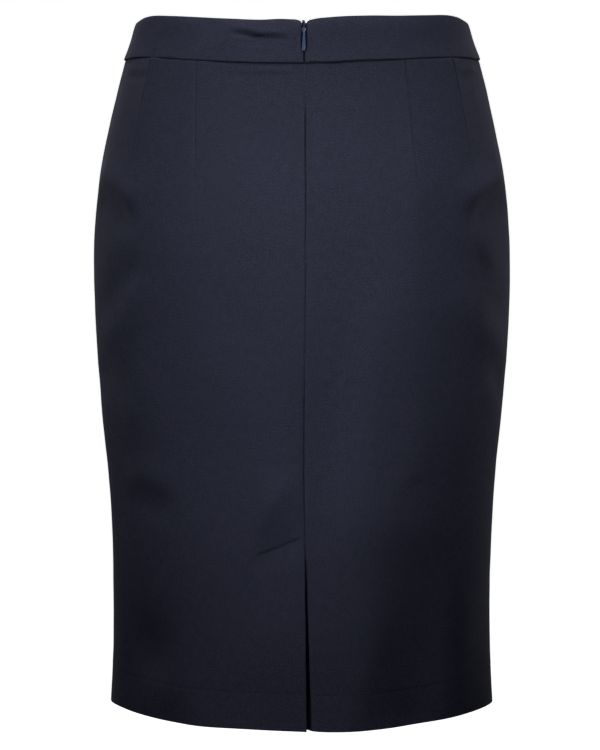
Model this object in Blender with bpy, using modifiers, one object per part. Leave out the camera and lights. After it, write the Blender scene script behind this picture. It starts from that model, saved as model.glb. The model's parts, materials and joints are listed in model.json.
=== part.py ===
"""Pencil skirt with a contoured waistband, a centre back zip and a back vent.

The skirt keeps the hollow form it has when it is worn. +Z is up, the front faces -Y and the back
faces +Y. The origin is the middle of the waist opening, level with the band's edge at the back.
A place on the cloth is a turn (degrees round from the middle of the back, towards the wearer's
left, +X), a drop below the origin, and a distance out from the skirt's own surface, in metres.
"""
import bpy
import numpy as np
from math import cos, degrees, pi, radians, sin, sqrt
from mathutils import Vector

# Driving dimensions, in metres
LENGTH = 0.600             # waist edge to hem
CLOTH = 0.0010             # wall of one layer of cloth
GAP = 0.0003               # between neighbouring pieces
BAND_HEIGHT = 0.0362       # waistband at the back
BAND_WALL = 0.0022         # folded and interfaced band
BAND_PROUD = 0.0008        # band's outer face, out from the skirt's
BAND_FRONT_DIP = 0.0170    # the waist edge is this much lower at the front
SEAM_FRONT_DIP = 0.0130    # and the waist seam this much
TURNED = -1.1              # the skirt sits turned by this much on the wearer, in degrees

VENT_TOP = 0.434           # drop of the vent's top
VENT_SLANT = 0.33          # fall of the vent's top edge for each metre across
FACING_WIDTH = 0.040       # left panel's vent edge, turned in
UNDERLAP_WIDTH = 0.045     # right panel's vent edge, carried under the left
UNDERLAP_SINK = 0.0045     # the underlap sinks this much more at the hem
STEP_WIDTH = 0.012         # the right panel steps under the left from here to STEP_END
STEP_END = 0.0013
STEP_ABOVE = 0.035         # the step grows over this height above the vent's top

TAPE_WIDTH = 0.012
TAPE_END = 0.208           # drop of the tapes' lower end
TAPE_START = 0.0025
SLIDER_DROP = 0.0070       # drop of the pull's hinge axis
PULL_LENGTH = 0.0192       # hinge axis to tip
PULL_THICKNESS = 0.0008
HINGE_OUT = 0.0019         # hinge axis, out from the skirt's surface
BRIDGE_RADIUS = 0.0016     # middle line of the bridge the pull hangs on
BRIDGE_WIRE = 0.0004       # radius of the bridge's wire

# Slider, up and down from the hinge axis
SLIDER_HALF_WIDTH = 0.0026
SLIDER_DEPTH = 0.0024      # body, from the tapes inwards
SLIDER_BELOW = 0.0055
SLIDER_ABOVE = 0.0035
NECK_HALF_WIDTH = 0.0006   # the neck stands in the slit between the band's ends
NECK_BELOW = 0.0023
NECK_ABOVE = 0.0053
NECK_SUNK = 0.0009         # the neck's face, in from the hinge axis
NOSE_RADII = (0.00085, 0.0012, 0.0023)
NOSE_MIDDLE = (0.0, -0.0006, 0.0050)

FLANK_RADIUS = 0.115       # metres round the side seams for each radian of turn
FOLD_PER_DEGREE = 0.0027   # metres round the skirt for each degree, in the table of folds

EDGE_COLUMN = 0.12         # a panel's edge column, as a share of the others
BACK_COLUMNS = 18
FRONT_COLUMNS = 36
ROWS_TO_VENT = 12
ROWS_OF_VENT = 5
BAND_ROWS = 3
TAPE_ROWS = 12

# Level rings from the waist to the hem. "squareness" pulls the flanks in towards a lens shape.
SECTION_COLUMNS = ("drop", "half_width", "back_depth", "front_depth", "squareness")
SECTIONS = (
    (0.000, 0.1396, 0.0925, 0.0940, 0.010),   # waist edge
    (0.038, 0.1512, 0.0985, 0.1010, 0.012),   # waist seam
    (0.090, 0.1640, 0.1100, 0.1090, 0.012),   # high hip
    (0.142, 0.1745, 0.1195, 0.1125, 0.012),
    (0.194, 0.1791, 0.1240, 0.1135, 0.014),   # seat
    (0.228, 0.1797, 0.1245, 0.1135, 0.015),   # full hip
    (0.281, 0.1783, 0.1225, 0.1125, 0.017),
    (0.333, 0.1744, 0.1200, 0.1110, 0.020),   # thigh
    (0.386, 0.1694, 0.1180, 0.1095, 0.022),
    (0.439, 0.1659, 0.1165, 0.1085, 0.024),
    (0.492, 0.1644, 0.1155, 0.1075, 0.025),
    (0.546, 0.1649, 0.1150, 0.1070, 0.025),
    (0.600, 0.1668, 0.1150, 0.1065, 0.025),   # hem
)

# Largest soft folds: where, half length along, half width, slant from upright in degrees
# (positive leans the top towards the wearer's left), and height (negative is a trough).
FOLD_COLUMNS = ("turn", "drop", "along", "wide", "slant", "height")
FOLDS = (
    (70, 0.152, 0.044, 0.010, 74, -0.0018),    # drag line at the left hip
    (-70, 0.152, 0.044, 0.010, -74, -0.0018),  # drag line at the right hip
    (60, 0.206, 0.024, 0.012, -44, -0.0012),   # hollow above the left ridge
    (-60, 0.206, 0.024, 0.012, 44, -0.0012),   # hollow above the right ridge
    (73, 0.306, 0.030, 0.016, -46, -0.0024),   # hollow below the left ridge
    (-74, 0.309, 0.032, 0.016, 48, -0.0024),   # hollow below the right ridge
    (40, 0.540, 0.100, 0.030, 4, -0.0024),     # slack below the left thigh
    (-38, 0.500, 0.110, 0.034, -4, -0.0026),   # slack below the right thigh
    (-28, 0.300, 0.150, 0.026, 3, 0.0030),     # fullness right of the middle
    (14, 0.014, 0.022, 0.005, 84, -0.0011),    # buckle in the band beside the zip
    (122, 0.300, 0.080, 0.022, -24, -0.0020),  # hollow at the front, left
    (-124, 0.320, 0.080, 0.022, 24, -0.0020),  # hollow at the front, right
)

# How far each side of the zip stands from the centre back line, by drop
SLIT_DROPS = (0.000, 0.004, 0.010, 0.020, 0.030, 0.037)
SLIT_HALVES = (0.0021, 0.0019, 0.0021, 0.0024, 0.0007, 0.00015)

# Pull tab outline: half width at each distance below the hinge axis
PULL_DISTANCES = (-0.0007, 0.0014, 0.0034, 0.0070, 0.0105, 0.0142, 0.0170)
PULL_HALVES = (0.0000, 0.0014, 0.0007, 0.0009, 0.0013, 0.0016, 0.0013)
EYE_HALF_WIDTH = 0.00070
EYE_HALF_LENGTH = 0.00095
EYE_DISTANCE = 0.00142     # middle of the eye below the hinge axis

CLOTH_COLOUR = (0.018, 0.019, 0.031)
TAPE_COLOUR = (0.014, 0.016, 0.028)
METAL_COLOUR = (0.10, 0.17, 0.33)


# Scene, collections and materials

def empty_scene():
    """Remove every object and give the skirt its own collection."""
    for old in list(bpy.data.objects):
        bpy.data.objects.remove(old, do_unlink=True)
    parts = bpy.data.collections.new("pencil_skirt")
    joiners = bpy.data.collections.new("cutters")
    bpy.context.scene.collection.children.link(parts)
    bpy.context.scene.collection.children.link(joiners)
    return parts, joiners


def make_material(name, colour, roughness, metallic=0.0):
    """A Principled material."""
    material = bpy.data.materials.new(name)
    material.use_nodes = True
    shader = material.node_tree.nodes["Principled BSDF"]
    shader.inputs["Base Color"].default_value = (*colour, 1.0)
    shader.inputs["Roughness"].default_value = roughness
    shader.inputs["Metallic"].default_value = metallic
    return material


# The skirt's surface

SECTION_TABLE = np.array(SECTIONS)
SECTION_DROPS = SECTION_TABLE[:, SECTION_COLUMNS.index("drop")]
SECTION_SLOPES = np.gradient(SECTION_TABLE, SECTION_DROPS, axis=0)


def section_at(drop):
    """Half width, back depth, front depth and squareness of the ring at a drop."""
    place = min(max(drop, 0.0), LENGTH)
    row = int(np.searchsorted(SECTION_DROPS, place, side="right")) - 1
    row = min(row, len(SECTIONS) - 2)
    span = SECTION_DROPS[row + 1] - SECTION_DROPS[row]
    t = (place - SECTION_DROPS[row]) / span
    start = (2 * t**3 - 3 * t**2 + 1) * SECTION_TABLE[row]
    start_slope = (t**3 - 2 * t**2 + t) * span * SECTION_SLOPES[row]
    end = (3 * t**2 - 2 * t**3) * SECTION_TABLE[row + 1]
    end_slope = (t**3 - t**2) * span * SECTION_SLOPES[row + 1]
    return (start + start_slope + end + end_slope)[1:]


def ring_point(turn, drop):
    """The point of the smooth skirt, before any fold."""
    half_width, back_depth, front_depth, square = section_at(drop)
    angle = radians(turn)
    depth = back_depth if cos(angle) > 0 else front_depth
    x = half_width * (sin(angle) - square * sin(3 * angle)) / (1 + square)
    y = depth * (cos(angle) + square * cos(3 * angle)) / (1 + square)
    return Vector((x, y, -drop))


def ring_normal(turn, drop):
    """The direction straight out of the smooth skirt."""
    step = 0.004
    high = min(max(drop, step), LENGTH - step)
    down = ring_point(turn, high + step) - ring_point(turn, high - step)
    round_ = ring_point(turn + 0.5, high) - ring_point(turn - 0.5, high)
    return round_.cross(down).normalized()


def turn_at(across, drop):
    """The turn that lies a distance across from the centre back line, near that line."""
    half_width, _, _, square = section_at(drop)
    metres_per_radian = half_width * (1 - 3 * square) / (1 + square)
    return TURNED + degrees(across / metres_per_radian)


def fold_height(turn, drop):
    """How far the soft folds move the cloth out."""
    height = 0.0
    for row in FOLDS:
        fold = dict(zip(FOLD_COLUMNS, row))
        sideways = (turn - fold["turn"]) * FOLD_PER_DEGREE
        downwards = drop - fold["drop"]
        lean = radians(fold["slant"])
        length_way = (downwards * cos(lean) - sideways * sin(lean)) / fold["along"]
        width_way = (downwards * sin(lean) + sideways * cos(lean)) / fold["wide"]
        height += fold["height"] * np.exp(-length_way ** 2 - width_way ** 2)
    return height


def cloth_point(turn, drop, out=0.0):
    """A point of the cloth, with its folds."""
    return ring_point(turn, drop) + ring_normal(turn, drop) * (out + fold_height(turn, drop))


def smooth_step(value, low, high):
    """0 up to low, 1 from high on, and a smooth rise between."""
    t = min(max((value - low) / (high - low), 0.0), 1.0)
    return t * t * (3 - 2 * t)


def waist_edge(turn):
    """Drop of the band's top edge, lower at the front."""
    return BAND_FRONT_DIP * smooth_step(-cos(radians(turn)), -0.42, 0.60)


def waist_seam(turn):
    """Drop of the seam between band and panels."""
    return BAND_HEIGHT + SEAM_FRONT_DIP * smooth_step(-cos(radians(turn)), -0.30, 0.80)


def spread(first, last, count):
    """Evenly spaced values, both ends included."""
    return [first + (last - first) * i / (count - 1) for i in range(count)]


def seam_shares(count, both=True):
    """Shares of a panel's width, with a narrow last column so that its edge stands square."""
    shares = spread(0.0, 1.0, count + 1)
    narrow = EDGE_COLUMN / count
    return shares[:1] + [narrow] * both + shares[1:-1] + [1.0 - narrow, 1.0]


# Sheets of cloth

def link(collection, name, data, material):
    """Put a new object in a collection."""
    made = bpy.data.objects.new(name, data)
    data.materials.append(material)
    collection.objects.link(made)
    return made


def sheet(collection, name, rows, wall, material):
    """A walled sheet through rows of outer points; None leaves a place open."""
    points = []
    number = {}
    for r, row in enumerate(rows):
        for c, point in enumerate(row):
            if point is not None:
                number[r, c] = len(points)
                points.append(point)
    faces = []
    for r in range(len(rows) - 1):
        for c in range(len(rows[0]) - 1):
            corners = ((r, c), (r, c + 1), (r + 1, c + 1), (r + 1, c))
            if all(corner in number for corner in corners):
                faces.append([number[corner] for corner in corners])
    mesh = bpy.data.meshes.new(name)
    mesh.from_pydata(points, [], faces)
    mesh.shade_smooth()
    mesh.set_sharp_from_angle(angle=radians(40))
    made = link(collection, name, mesh, material)
    solidify = made.modifiers.new("wall", "SOLIDIFY")
    solidify.thickness = wall
    solidify.offset = -1.0
    solidify.use_even_offset = True
    return made


def panel_drops(turn):
    """Drops of a panel's rows at a turn: down to the vent's top, then down to the hem."""
    top = waist_seam(turn) + GAP / 2
    upper = spread(top, VENT_TOP, ROWS_TO_VENT + 1)
    return upper + spread(VENT_TOP, LENGTH, ROWS_OF_VENT + 1)[1:]


def vent_drop(across, row):
    """Drop of a vent row, whose top edge slants down away from the centre back."""
    top = VENT_TOP + VENT_SLANT * max(across, 0.0)
    share = (row - ROWS_TO_VENT) / ROWS_OF_VENT
    return top + (LENGTH - top) * share


def seam_turn(side, metres_from_seam):
    """The turn of a side seam, moved by a distance; side is 1 for left and -1 for right."""
    return side * 90 + TURNED + degrees(metres_from_seam / FLANK_RADIUS)


def front_turns():
    """Turns of the front's columns, from the left side seam round to the right."""
    first = seam_turn(1, GAP / 2)
    last = seam_turn(-1, -GAP / 2) + 360
    return [first + (last - first) * share for share in seam_shares(FRONT_COLUMNS)]


def front_panel(collection, material):
    """The whole front, from the left side seam round to the right."""
    turns = front_turns()
    columns = [[cloth_point(t, d) for d in panel_drops(t)] for t in turns]
    return sheet(collection, "front_panel", list(zip(*columns)), CLOTH, material)


def left_panel(collection, material):
    """Left back, whose vent edge turns in and lies against its own inside as a facing."""
    folded = 2 * CLOTH + GAP
    fold_middle = GAP / 2
    facing = [(x, -folded) for x in spread(FACING_WIDTH, 0.003, 5)]
    bend = []
    for angle in (-90, -45, 0, 45):
        across = fold_middle - folded / 2 * cos(radians(angle))
        bend.append((across, folded / 2 * (sin(radians(angle)) - 1)))
    last = len(panel_drops(0))
    rows = [[] for _ in range(last)]
    for across, out in facing + bend:
        for r in range(last):
            drop = vent_drop(across, r)
            point = cloth_point(turn_at(across, drop), drop, out) if r >= ROWS_TO_VENT else None
            rows[r].append(point)
    for share in seam_shares(BACK_COLUMNS, both=False):
        for r in range(last):
            first = turn_at(fold_middle, panel_drops(TURNED)[r])
            turn = first + (seam_turn(1, -GAP / 2) - first) * share
            rows[r].append(cloth_point(turn, panel_drops(turn)[r]))
    return sheet(collection, "back_panel_left", rows, CLOTH, material)


def underlap_out(across, drop):
    """How far the right panel lies in from the skirt's surface beside and under the vent."""
    under_facing = 2 * CLOTH + 2 * GAP
    share = max((drop - VENT_TOP) / (LENGTH - VENT_TOP), 0.0)
    full = under_facing + UNDERLAP_SINK * share
    start = VENT_TOP - STEP_ABOVE
    sideways = smooth_step(across, -STEP_WIDTH, -STEP_END)
    return -full * sideways * smooth_step(drop, start, VENT_TOP)


def right_panel(collection, material):
    """Right back, whose vent edge steps in and carries on under the left panel."""
    last = len(panel_drops(0))
    rows = [[] for _ in range(last)]
    for share in reversed(seam_shares(BACK_COLUMNS, both=False)):
        for r in range(last):
            first = turn_at(-STEP_WIDTH, panel_drops(TURNED)[r])
            turn = first + (seam_turn(-1, GAP / 2) - first) * share
            rows[r].append(cloth_point(turn, panel_drops(turn)[r]))
    for across in (-0.0085, -0.0055, -0.0033, -STEP_END, -GAP / 2):
        for r in range(last):
            drop = panel_drops(TURNED)[r]
            place = turn_at(across, drop)
            rows[r].append(cloth_point(place, drop, underlap_out(across, drop)))
    for across in spread(0.008, UNDERLAP_WIDTH, 5):
        for r in range(last):
            drop = vent_drop(across, r)
            out = underlap_out(across, drop)
            point = cloth_point(turn_at(across, drop), drop, out) if r >= ROWS_TO_VENT else None
            rows[r].append(point)
    return sheet(collection, "back_panel_right", rows, CLOTH, material)


# Waistband

def slit_half(drop):
    """Distance from the centre back line to the cloth beside the zip."""
    return float(np.interp(drop, SLIT_DROPS, SLIT_HALVES))


def corner_fall(from_end, long, tall):
    """How far a rounded band corner falls below the waist edge."""
    t = min(from_end / long, 1.0)
    return tall * (1 - sqrt(1 - (1 - t) ** 2))


def band_column(turn_of, end_distance, long, tall):
    """Outer points down one column of a band; turn_of gives the turn at a drop."""
    edge = waist_edge(turn_of(0.0)) + corner_fall(end_distance, long, tall)
    seam = waist_seam(turn_of(BAND_HEIGHT)) - GAP / 2
    drops = spread(edge, seam, BAND_ROWS + 1)
    return [cloth_point(turn_of(d), d, BAND_PROUD) for d in drops]


def band_front(collection, material):
    """Front of the band."""
    columns = [band_column(lambda d, t=t: t, 1.0, 1.0, 0.0) for t in front_turns()]
    return sheet(collection, "waistband_front", list(zip(*columns)), BAND_WALL, material)


def band_back(collection, name, side, long, tall, material):
    """A back half of the band, from the zip to the side seam."""
    distances = [0.0, 0.0006, 0.0018, 0.0040, 0.0070]
    columns = []
    for distance in distances:
        def near_zip(drop, distance=distance):
            return turn_at(side * (slit_half(drop) + distance), drop)
        columns.append(band_column(near_zip, distance, long, tall))
    for share in seam_shares(BACK_COLUMNS - 3, both=False)[1:]:
        def along(drop, share=share):
            first = turn_at(side * (slit_half(drop) + distances[-1]), drop)
            return first + (seam_turn(side, -side * GAP / 2) - first) * share
        columns.append(band_column(along, 1.0, long, tall))
    if side < 0:
        columns.reverse()
    return sheet(collection, name, list(zip(*columns)), BAND_WALL, material)


# Zip

def zip_tape(collection, name, side, material):
    """One woven tape, flat against the inside of the opening."""
    out = BAND_PROUD - BAND_WALL - GAP
    columns = []
    for share in (0.0, 0.5, 1.0):
        column = []
        for drop in spread(TAPE_START, TAPE_END, TAPE_ROWS + 1):
            inner = slit_half(drop) + GAP / 2
            across = side * (inner + (TAPE_WIDTH - inner) * share)
            column.append(cloth_point(turn_at(across, drop), drop, out))
        columns.append(column)
    if side < 0:
        columns.reverse()
    return sheet(collection, name, list(zip(*columns)), CLOTH, material)


def hinge_frame(collection):
    """An empty on the pull's hinge axis, leaning with the band; +Y is out and -Z is down it."""
    top = cloth_point(TURNED, SLIDER_DROP, HINGE_OUT)
    foot = cloth_point(TURNED, SLIDER_DROP + PULL_LENGTH, HINGE_OUT)
    axis = bpy.data.objects.new("pull_axis", None)
    axis.location = top
    axis.rotation_euler = (np.arctan2(foot.y - top.y, top.z - foot.z), 0, 0)
    collection.objects.link(axis)
    return axis


def as_mesh(collection, curve_object, material):
    """Turn a curve object into a mesh object with closed, welded caps."""
    bpy.context.view_layer.update()
    seen = curve_object.evaluated_get(bpy.context.evaluated_depsgraph_get())
    mesh = bpy.data.meshes.new_from_object(seen)
    name = curve_object.name
    bpy.data.objects.remove(curve_object, do_unlink=True)
    mesh.materials.clear()
    made = link(collection, name, mesh, material)
    weld = made.modifiers.new("weld", "WELD")
    weld.merge_threshold = 0.00001
    return made


def slider_box(collection, name, low, high, bevel, material):
    """A box with rounded edges, given by its corners in the hinge frame."""
    bpy.ops.mesh.primitive_cube_add(size=1.0)
    box = bpy.context.object
    box.name = name
    box.data.name = name
    for vertex in box.data.vertices:
        for axis in range(3):
            vertex.co[axis] = low[axis] if vertex.co[axis] < 0 else high[axis]
    for owner in list(box.users_collection):
        owner.objects.unlink(box)
    collection.objects.link(box)
    box.data.materials.append(material)
    rounding = box.modifiers.new("edges", "BEVEL")
    rounding.width = bevel
    rounding.segments = 2
    return box


def bridge(collection, material):
    """The wire bridge: up out of the slit, over the hinge axis and back."""
    path = [(0.0, -HINGE_OUT, -BRIDGE_RADIUS)]
    for angle in spread(-90, 90, 13):
        turned = radians(angle)
        path.append((0.0, BRIDGE_RADIUS * cos(turned), BRIDGE_RADIUS * sin(turned)))
    path.append((0.0, -HINGE_OUT, BRIDGE_RADIUS))
    curve = bpy.data.curves.new("bridge", "CURVE")
    curve.dimensions = "3D"
    curve.bevel_depth = BRIDGE_WIRE
    curve.bevel_resolution = 2
    curve.use_fill_caps = True
    spline = curve.splines.new("POLY")
    spline.points.add(len(path) - 1)
    for point, place in zip(spline.points, path):
        point.co = (*place, 1.0)
    made = bpy.data.objects.new("bridge", curve)
    collection.objects.link(made)
    return as_mesh(collection, made, material)


def slider_nose(collection, material):
    """The rounded nose that stands at the slider's top."""
    bpy.ops.mesh.primitive_uv_sphere_add(segments=12, ring_count=8, radius=1.0)
    nose = bpy.context.object
    nose.name = "nose"
    for vertex in nose.data.vertices:
        for axis in range(3):
            vertex.co[axis] = vertex.co[axis] * NOSE_RADII[axis] + NOSE_MIDDLE[axis]
    for owner in list(nose.users_collection):
        owner.objects.unlink(nose)
    collection.objects.link(nose)
    nose.data.materials.append(material)
    return nose


def zip_slider(collection, joiners, axis, material):
    """Slider: body inside the tapes, neck through the slit, bridge and nose outside."""
    body_out = BAND_PROUD - BAND_WALL - 2 * GAP - CLOTH - HINGE_OUT
    body_low = (-SLIDER_HALF_WIDTH, body_out - SLIDER_DEPTH, -SLIDER_BELOW)
    body_high = (SLIDER_HALF_WIDTH, body_out, SLIDER_ABOVE)
    body = slider_box(collection, "zip_slider", body_low, body_high, 0.0006, material)
    neck_low = (-NECK_HALF_WIDTH, body_out - SLIDER_DEPTH / 3, -NECK_BELOW)
    neck_high = (NECK_HALF_WIDTH, -NECK_SUNK, NECK_ABOVE)
    neck = slider_box(joiners, "neck", neck_low, neck_high, 0.00013, material)
    for piece in (neck, bridge(joiners, material), slider_nose(joiners, material)):
        piece.hide_render = True
        piece.display_type = "WIRE"
        piece.parent = axis
        union = body.modifiers.new("join " + piece.name, "BOOLEAN")
        union.operation = "UNION"
        union.solver = "EXACT"
        union.object = piece
    body.parent = axis
    return body


def pull_outline():
    """The pull's outline in its own plane, as points round from the top."""
    distances = spread(PULL_DISTANCES[0], PULL_DISTANCES[-1], 17)
    slopes = np.gradient(PULL_HALVES, PULL_DISTANCES)
    side = []
    for distance in distances[1:]:
        row = min(int(np.searchsorted(PULL_DISTANCES, distance)) - 1, len(PULL_DISTANCES) - 2)
        span = PULL_DISTANCES[row + 1] - PULL_DISTANCES[row]
        t = (distance - PULL_DISTANCES[row]) / span
        half = (2 * t**3 - 3 * t**2 + 1) * PULL_HALVES[row]
        half += (3 * t**2 - 2 * t**3) * PULL_HALVES[row + 1]
        half += (t**3 - 2 * t**2 + t) * span * slopes[row]
        half += (t**3 - t**2) * span * slopes[row + 1]
        side.append((half, -distance))
    tip = PULL_LENGTH - PULL_DISTANCES[-1]
    for angle in (25, 50, 70):
        turned = radians(angle)
        side.append((PULL_HALVES[-1] * cos(turned), -PULL_DISTANCES[-1] - tip * sin(turned)))
    top = [(0.0, -PULL_DISTANCES[0])]
    foot = [(0.0, -PULL_LENGTH)]
    return top + side + foot + [(-x, y) for x, y in reversed(side)]


def eye_outline():
    """The eye that the bridge passes through."""
    places = []
    for i in range(16):
        angle = 2 * pi * i / 16
        across = EYE_HALF_WIDTH * cos(angle)
        places.append((across, -EYE_DISTANCE + EYE_HALF_LENGTH * sin(angle)))
    return places


def zip_pull(collection, axis, material):
    """Flat teardrop pull with its eye round the bridge, hanging against the band."""
    curve = bpy.data.curves.new("zip_pull", "CURVE")
    curve.dimensions = "2D"
    curve.fill_mode = "BOTH"
    rounding = PULL_THICKNESS * 0.25
    curve.extrude = PULL_THICKNESS / 2 - rounding
    curve.bevel_depth = rounding
    curve.bevel_resolution = 1
    curve.offset = -rounding
    for outline in (pull_outline(), eye_outline()):
        spline = curve.splines.new("POLY")
        spline.points.add(len(outline) - 1)
        spline.use_cyclic_u = True
        for point, (x, y) in zip(spline.points, outline):
            point.co = (x, y, 0.0, 1.0)
    flat = bpy.data.objects.new("zip_pull", curve)
    collection.objects.link(flat)
    pull = as_mesh(collection, flat, material)
    pull.name = "zip_pull"
    for vertex in pull.data.vertices:
        vertex.co = (vertex.co.x, -vertex.co.z, vertex.co.y)
    pull.parent = axis
    return pull


def build():
    """Make the whole skirt."""
    parts, joiners = empty_scene()
    cloth = make_material("navy_suiting", CLOTH_COLOUR, 0.85)
    tape = make_material("zip_tape_weave", TAPE_COLOUR, 0.9)
    metal = make_material("lacquered_metal", METAL_COLOUR, 0.3, 0.8)
    front_panel(parts, cloth)
    left_panel(parts, cloth)
    right_panel(parts, cloth)
    band_front(parts, cloth)
    band_back(parts, "waistband_back_left", 1, 0.005, 0.0025, cloth)
    band_back(parts, "waistband_back_right", -1, 0.009, 0.0045, cloth)
    zip_tape(parts, "zip_tape_left", 1, tape)
    zip_tape(parts, "zip_tape_right", -1, tape)
    axis = hinge_frame(parts)
    zip_slider(parts, joiners, axis, metal)
    zip_pull(parts, axis, metal)


build()
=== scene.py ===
# %% [markdown]
# # A navy pencil skirt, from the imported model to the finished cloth
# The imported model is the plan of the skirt: solid panels, a waistband, a zip and its pull, each at
# its real size. This script dresses that plan. Every visible piece is made again as fine cloth or
# lacquered metal in the same frame, in metres: +Z is up, +Y is the skirt's back and +X is the
# wearer's left.

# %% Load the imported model
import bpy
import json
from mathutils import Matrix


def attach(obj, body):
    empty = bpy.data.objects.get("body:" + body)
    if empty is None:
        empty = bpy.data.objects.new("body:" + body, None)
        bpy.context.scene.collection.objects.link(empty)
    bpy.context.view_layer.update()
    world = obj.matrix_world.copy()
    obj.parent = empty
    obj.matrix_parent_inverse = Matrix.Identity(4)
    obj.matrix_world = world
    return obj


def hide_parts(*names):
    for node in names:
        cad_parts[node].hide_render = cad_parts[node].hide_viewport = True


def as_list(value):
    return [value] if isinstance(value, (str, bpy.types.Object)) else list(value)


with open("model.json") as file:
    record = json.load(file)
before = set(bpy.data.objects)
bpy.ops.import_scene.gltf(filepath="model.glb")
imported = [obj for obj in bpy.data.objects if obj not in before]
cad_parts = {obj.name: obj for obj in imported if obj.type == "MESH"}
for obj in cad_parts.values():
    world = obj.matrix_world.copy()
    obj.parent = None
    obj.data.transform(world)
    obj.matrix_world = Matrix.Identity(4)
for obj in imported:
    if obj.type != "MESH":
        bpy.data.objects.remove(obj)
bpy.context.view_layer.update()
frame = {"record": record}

# %% [markdown]
# ## Modules
# NumPy works out thousands of points of cloth at once, and bpy and bmesh hand them to Blender.
# The Standard view transform shows the dark cloth's colours as they are mixed.

# %% Modules
import json
from math import cos, degrees, pi, radians, sin

import bmesh
import bpy
import numpy as np
from mathutils import Matrix, Vector

scene = bpy.context.scene
scene.view_settings.view_transform = "Standard"
print("Blender", bpy.app.version_string, "and NumPy", np.__version__)

# %% [markdown]
# ## Camera
# A long lens far away keeps a garment's proportions true, where a short one close by would swell
# its middle. It stands a little above the waist and looks down at the middle of the skirt's back.

# %% Camera
LENS = 173.3
CAMERA_PLACE = Vector((0.0, 3.10, 0.135))
CAMERA_AIM = Vector((0.0013, 0.0, -0.3113))

camera_data = bpy.data.cameras.new("camera")
camera_data.lens = LENS
camera_data.sensor_width = 36.0
camera = bpy.data.objects.new("camera", camera_data)
scene.collection.objects.link(camera)
camera.location = CAMERA_PLACE
camera.rotation_euler = (CAMERA_AIM - CAMERA_PLACE).to_track_quat("-Z", "Y").to_euler()
scene.camera = camera
print("camera distance:", round((CAMERA_AIM - CAMERA_PLACE).length, 3), "m")

# %% [markdown]
# ## Floor and surroundings
# The skirt is worn, so the floor lies a knee's height below the hem. A white sweep glows a little
# of its own, so that it stays pale wherever the lamps don't reach. It is hidden from the cloth's
# bounced light, or it would fill in the shade at the hem.

# %% Floor and surroundings
FLOOR_HEIGHT = -1.05


def plain_floor():
    """A wide pale floor below the skirt."""
    bpy.ops.mesh.primitive_plane_add(size=60.0, location=(0.0, 0.0, FLOOR_HEIGHT))
    floor = bpy.context.object
    floor.name = "floor"
    paint = bpy.data.materials.new("pale floor")
    paint.use_nodes = True
    shader = paint.node_tree.nodes["Principled BSDF"]
    shader.inputs["Base Color"].default_value = (0.9, 0.9, 0.9, 1.0)
    shader.inputs["Roughness"].default_value = 0.9
    shader.inputs["Emission Color"].default_value = (1.0, 1.0, 1.0, 1.0)
    shader.inputs["Emission Strength"].default_value = 1.0
    floor.data.materials.append(paint)
    floor.visible_diffuse = False
    floor.visible_glossy = False
    return floor


def surroundings(seen, ambient):
    """A white world to the camera, and a dimmer one that lights the cloth."""
    world = bpy.data.worlds.new("surroundings")
    world.use_nodes = True
    scene.world = world
    nodes = world.node_tree.nodes
    links = world.node_tree.links
    background = nodes["Background"]
    background.inputs["Color"].default_value = (1.0, 1.0, 1.0, 1.0)
    path = nodes.new("ShaderNodeLightPath")
    strength = nodes.new("ShaderNodeMapRange")
    strength.inputs["To Min"].default_value = ambient
    strength.inputs["To Max"].default_value = seen
    links.new(path.outputs["Is Camera Ray"], strength.inputs["Value"])
    links.new(strength.outputs["Result"], background.inputs["Strength"])


AMBIENT = 0.003
plain_floor()
surroundings(seen=1.0, ambient=AMBIENT)
print("floor at", FLOOR_HEIGHT, "m, ambient light", AMBIENT)

# %% [markdown]
# ## Lamps
# Soft boxes light cloth best. One hangs close over the waist, so that its light falls off down
# the seat. The others behind the skirt stand at both sides, where their grazing light draws the
# folds, and narrow beams let each serve its own part of the cloth. Two tall strips in front of the
# flanks draw the thin bright rim of the nap, and one box lights the front, which the camera
# doesn't see.

# %% Lamps
LAMP_COLUMNS = ("name", "place", "aim", "width", "height", "power", "spread")
LAMPS = (
    ("over", (0.0, 0.28, 0.95), (0.0, 0.09, 0.0), 0.5, 0.25, 0.986, 60),
    ("left_wide", (0.80, 0.90, 0.60), (0.02, 0.11, -0.15), 0.4, 0.4, 0.570, 60),
    ("left_thigh", (0.80, 0.95, 0.30), (-0.11, 0.11, -0.36), 0.4, 0.4, 0.292, 24),
    ("left_hem", (0.80, 0.95, 0.10), (-0.11, 0.11, -0.55), 0.4, 0.4, 0.012, 24),
    ("right_waist", (-0.80, 0.95, 0.45), (0.0, 0.11, -0.18), 0.4, 0.4, 0.167, 24),
    ("right_hip", (-0.80, 0.95, 0.45), (-0.11, 0.11, -0.18), 0.4, 0.4, 0.074, 24),
    ("right_seat", (-0.80, 0.95, 0.30), (0.0, 0.11, -0.36), 0.4, 0.4, 0.099, 24),
    ("rim_left", (1.2, -1.0, -0.10), (0.16, 0.0, -0.30), 0.4, 1.5, 4.072, 180),
    ("rim_right", (-1.2, -1.0, -0.10), (-0.16, 0.0, -0.30), 0.4, 1.5, 5.381, 180),
    ("front", (0.3, -1.6, 0.7), (0.0, -0.10, -0.20), 0.9, 0.6, 9.0, 180),
)


def soft_box(name, place, aim, width, height, power, spread):
    """A rectangular area lamp that points at its aim; spread is its beam in degrees."""
    lamp = bpy.data.lights.new(name, "AREA")
    lamp.shape = "RECTANGLE"
    lamp.size = width
    lamp.size_y = height
    lamp.energy = power
    lamp.spread = radians(spread)
    holder = bpy.data.objects.new(name, lamp)
    scene.collection.objects.link(holder)
    holder.location = place
    holder.rotation_euler = (Vector(aim) - Vector(place)).to_track_quat("-Z", "Y").to_euler()


for row in LAMPS:
    soft_box(**dict(zip(LAMP_COLUMNS, row)))
print("lamps:", len(LAMPS))

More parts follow.
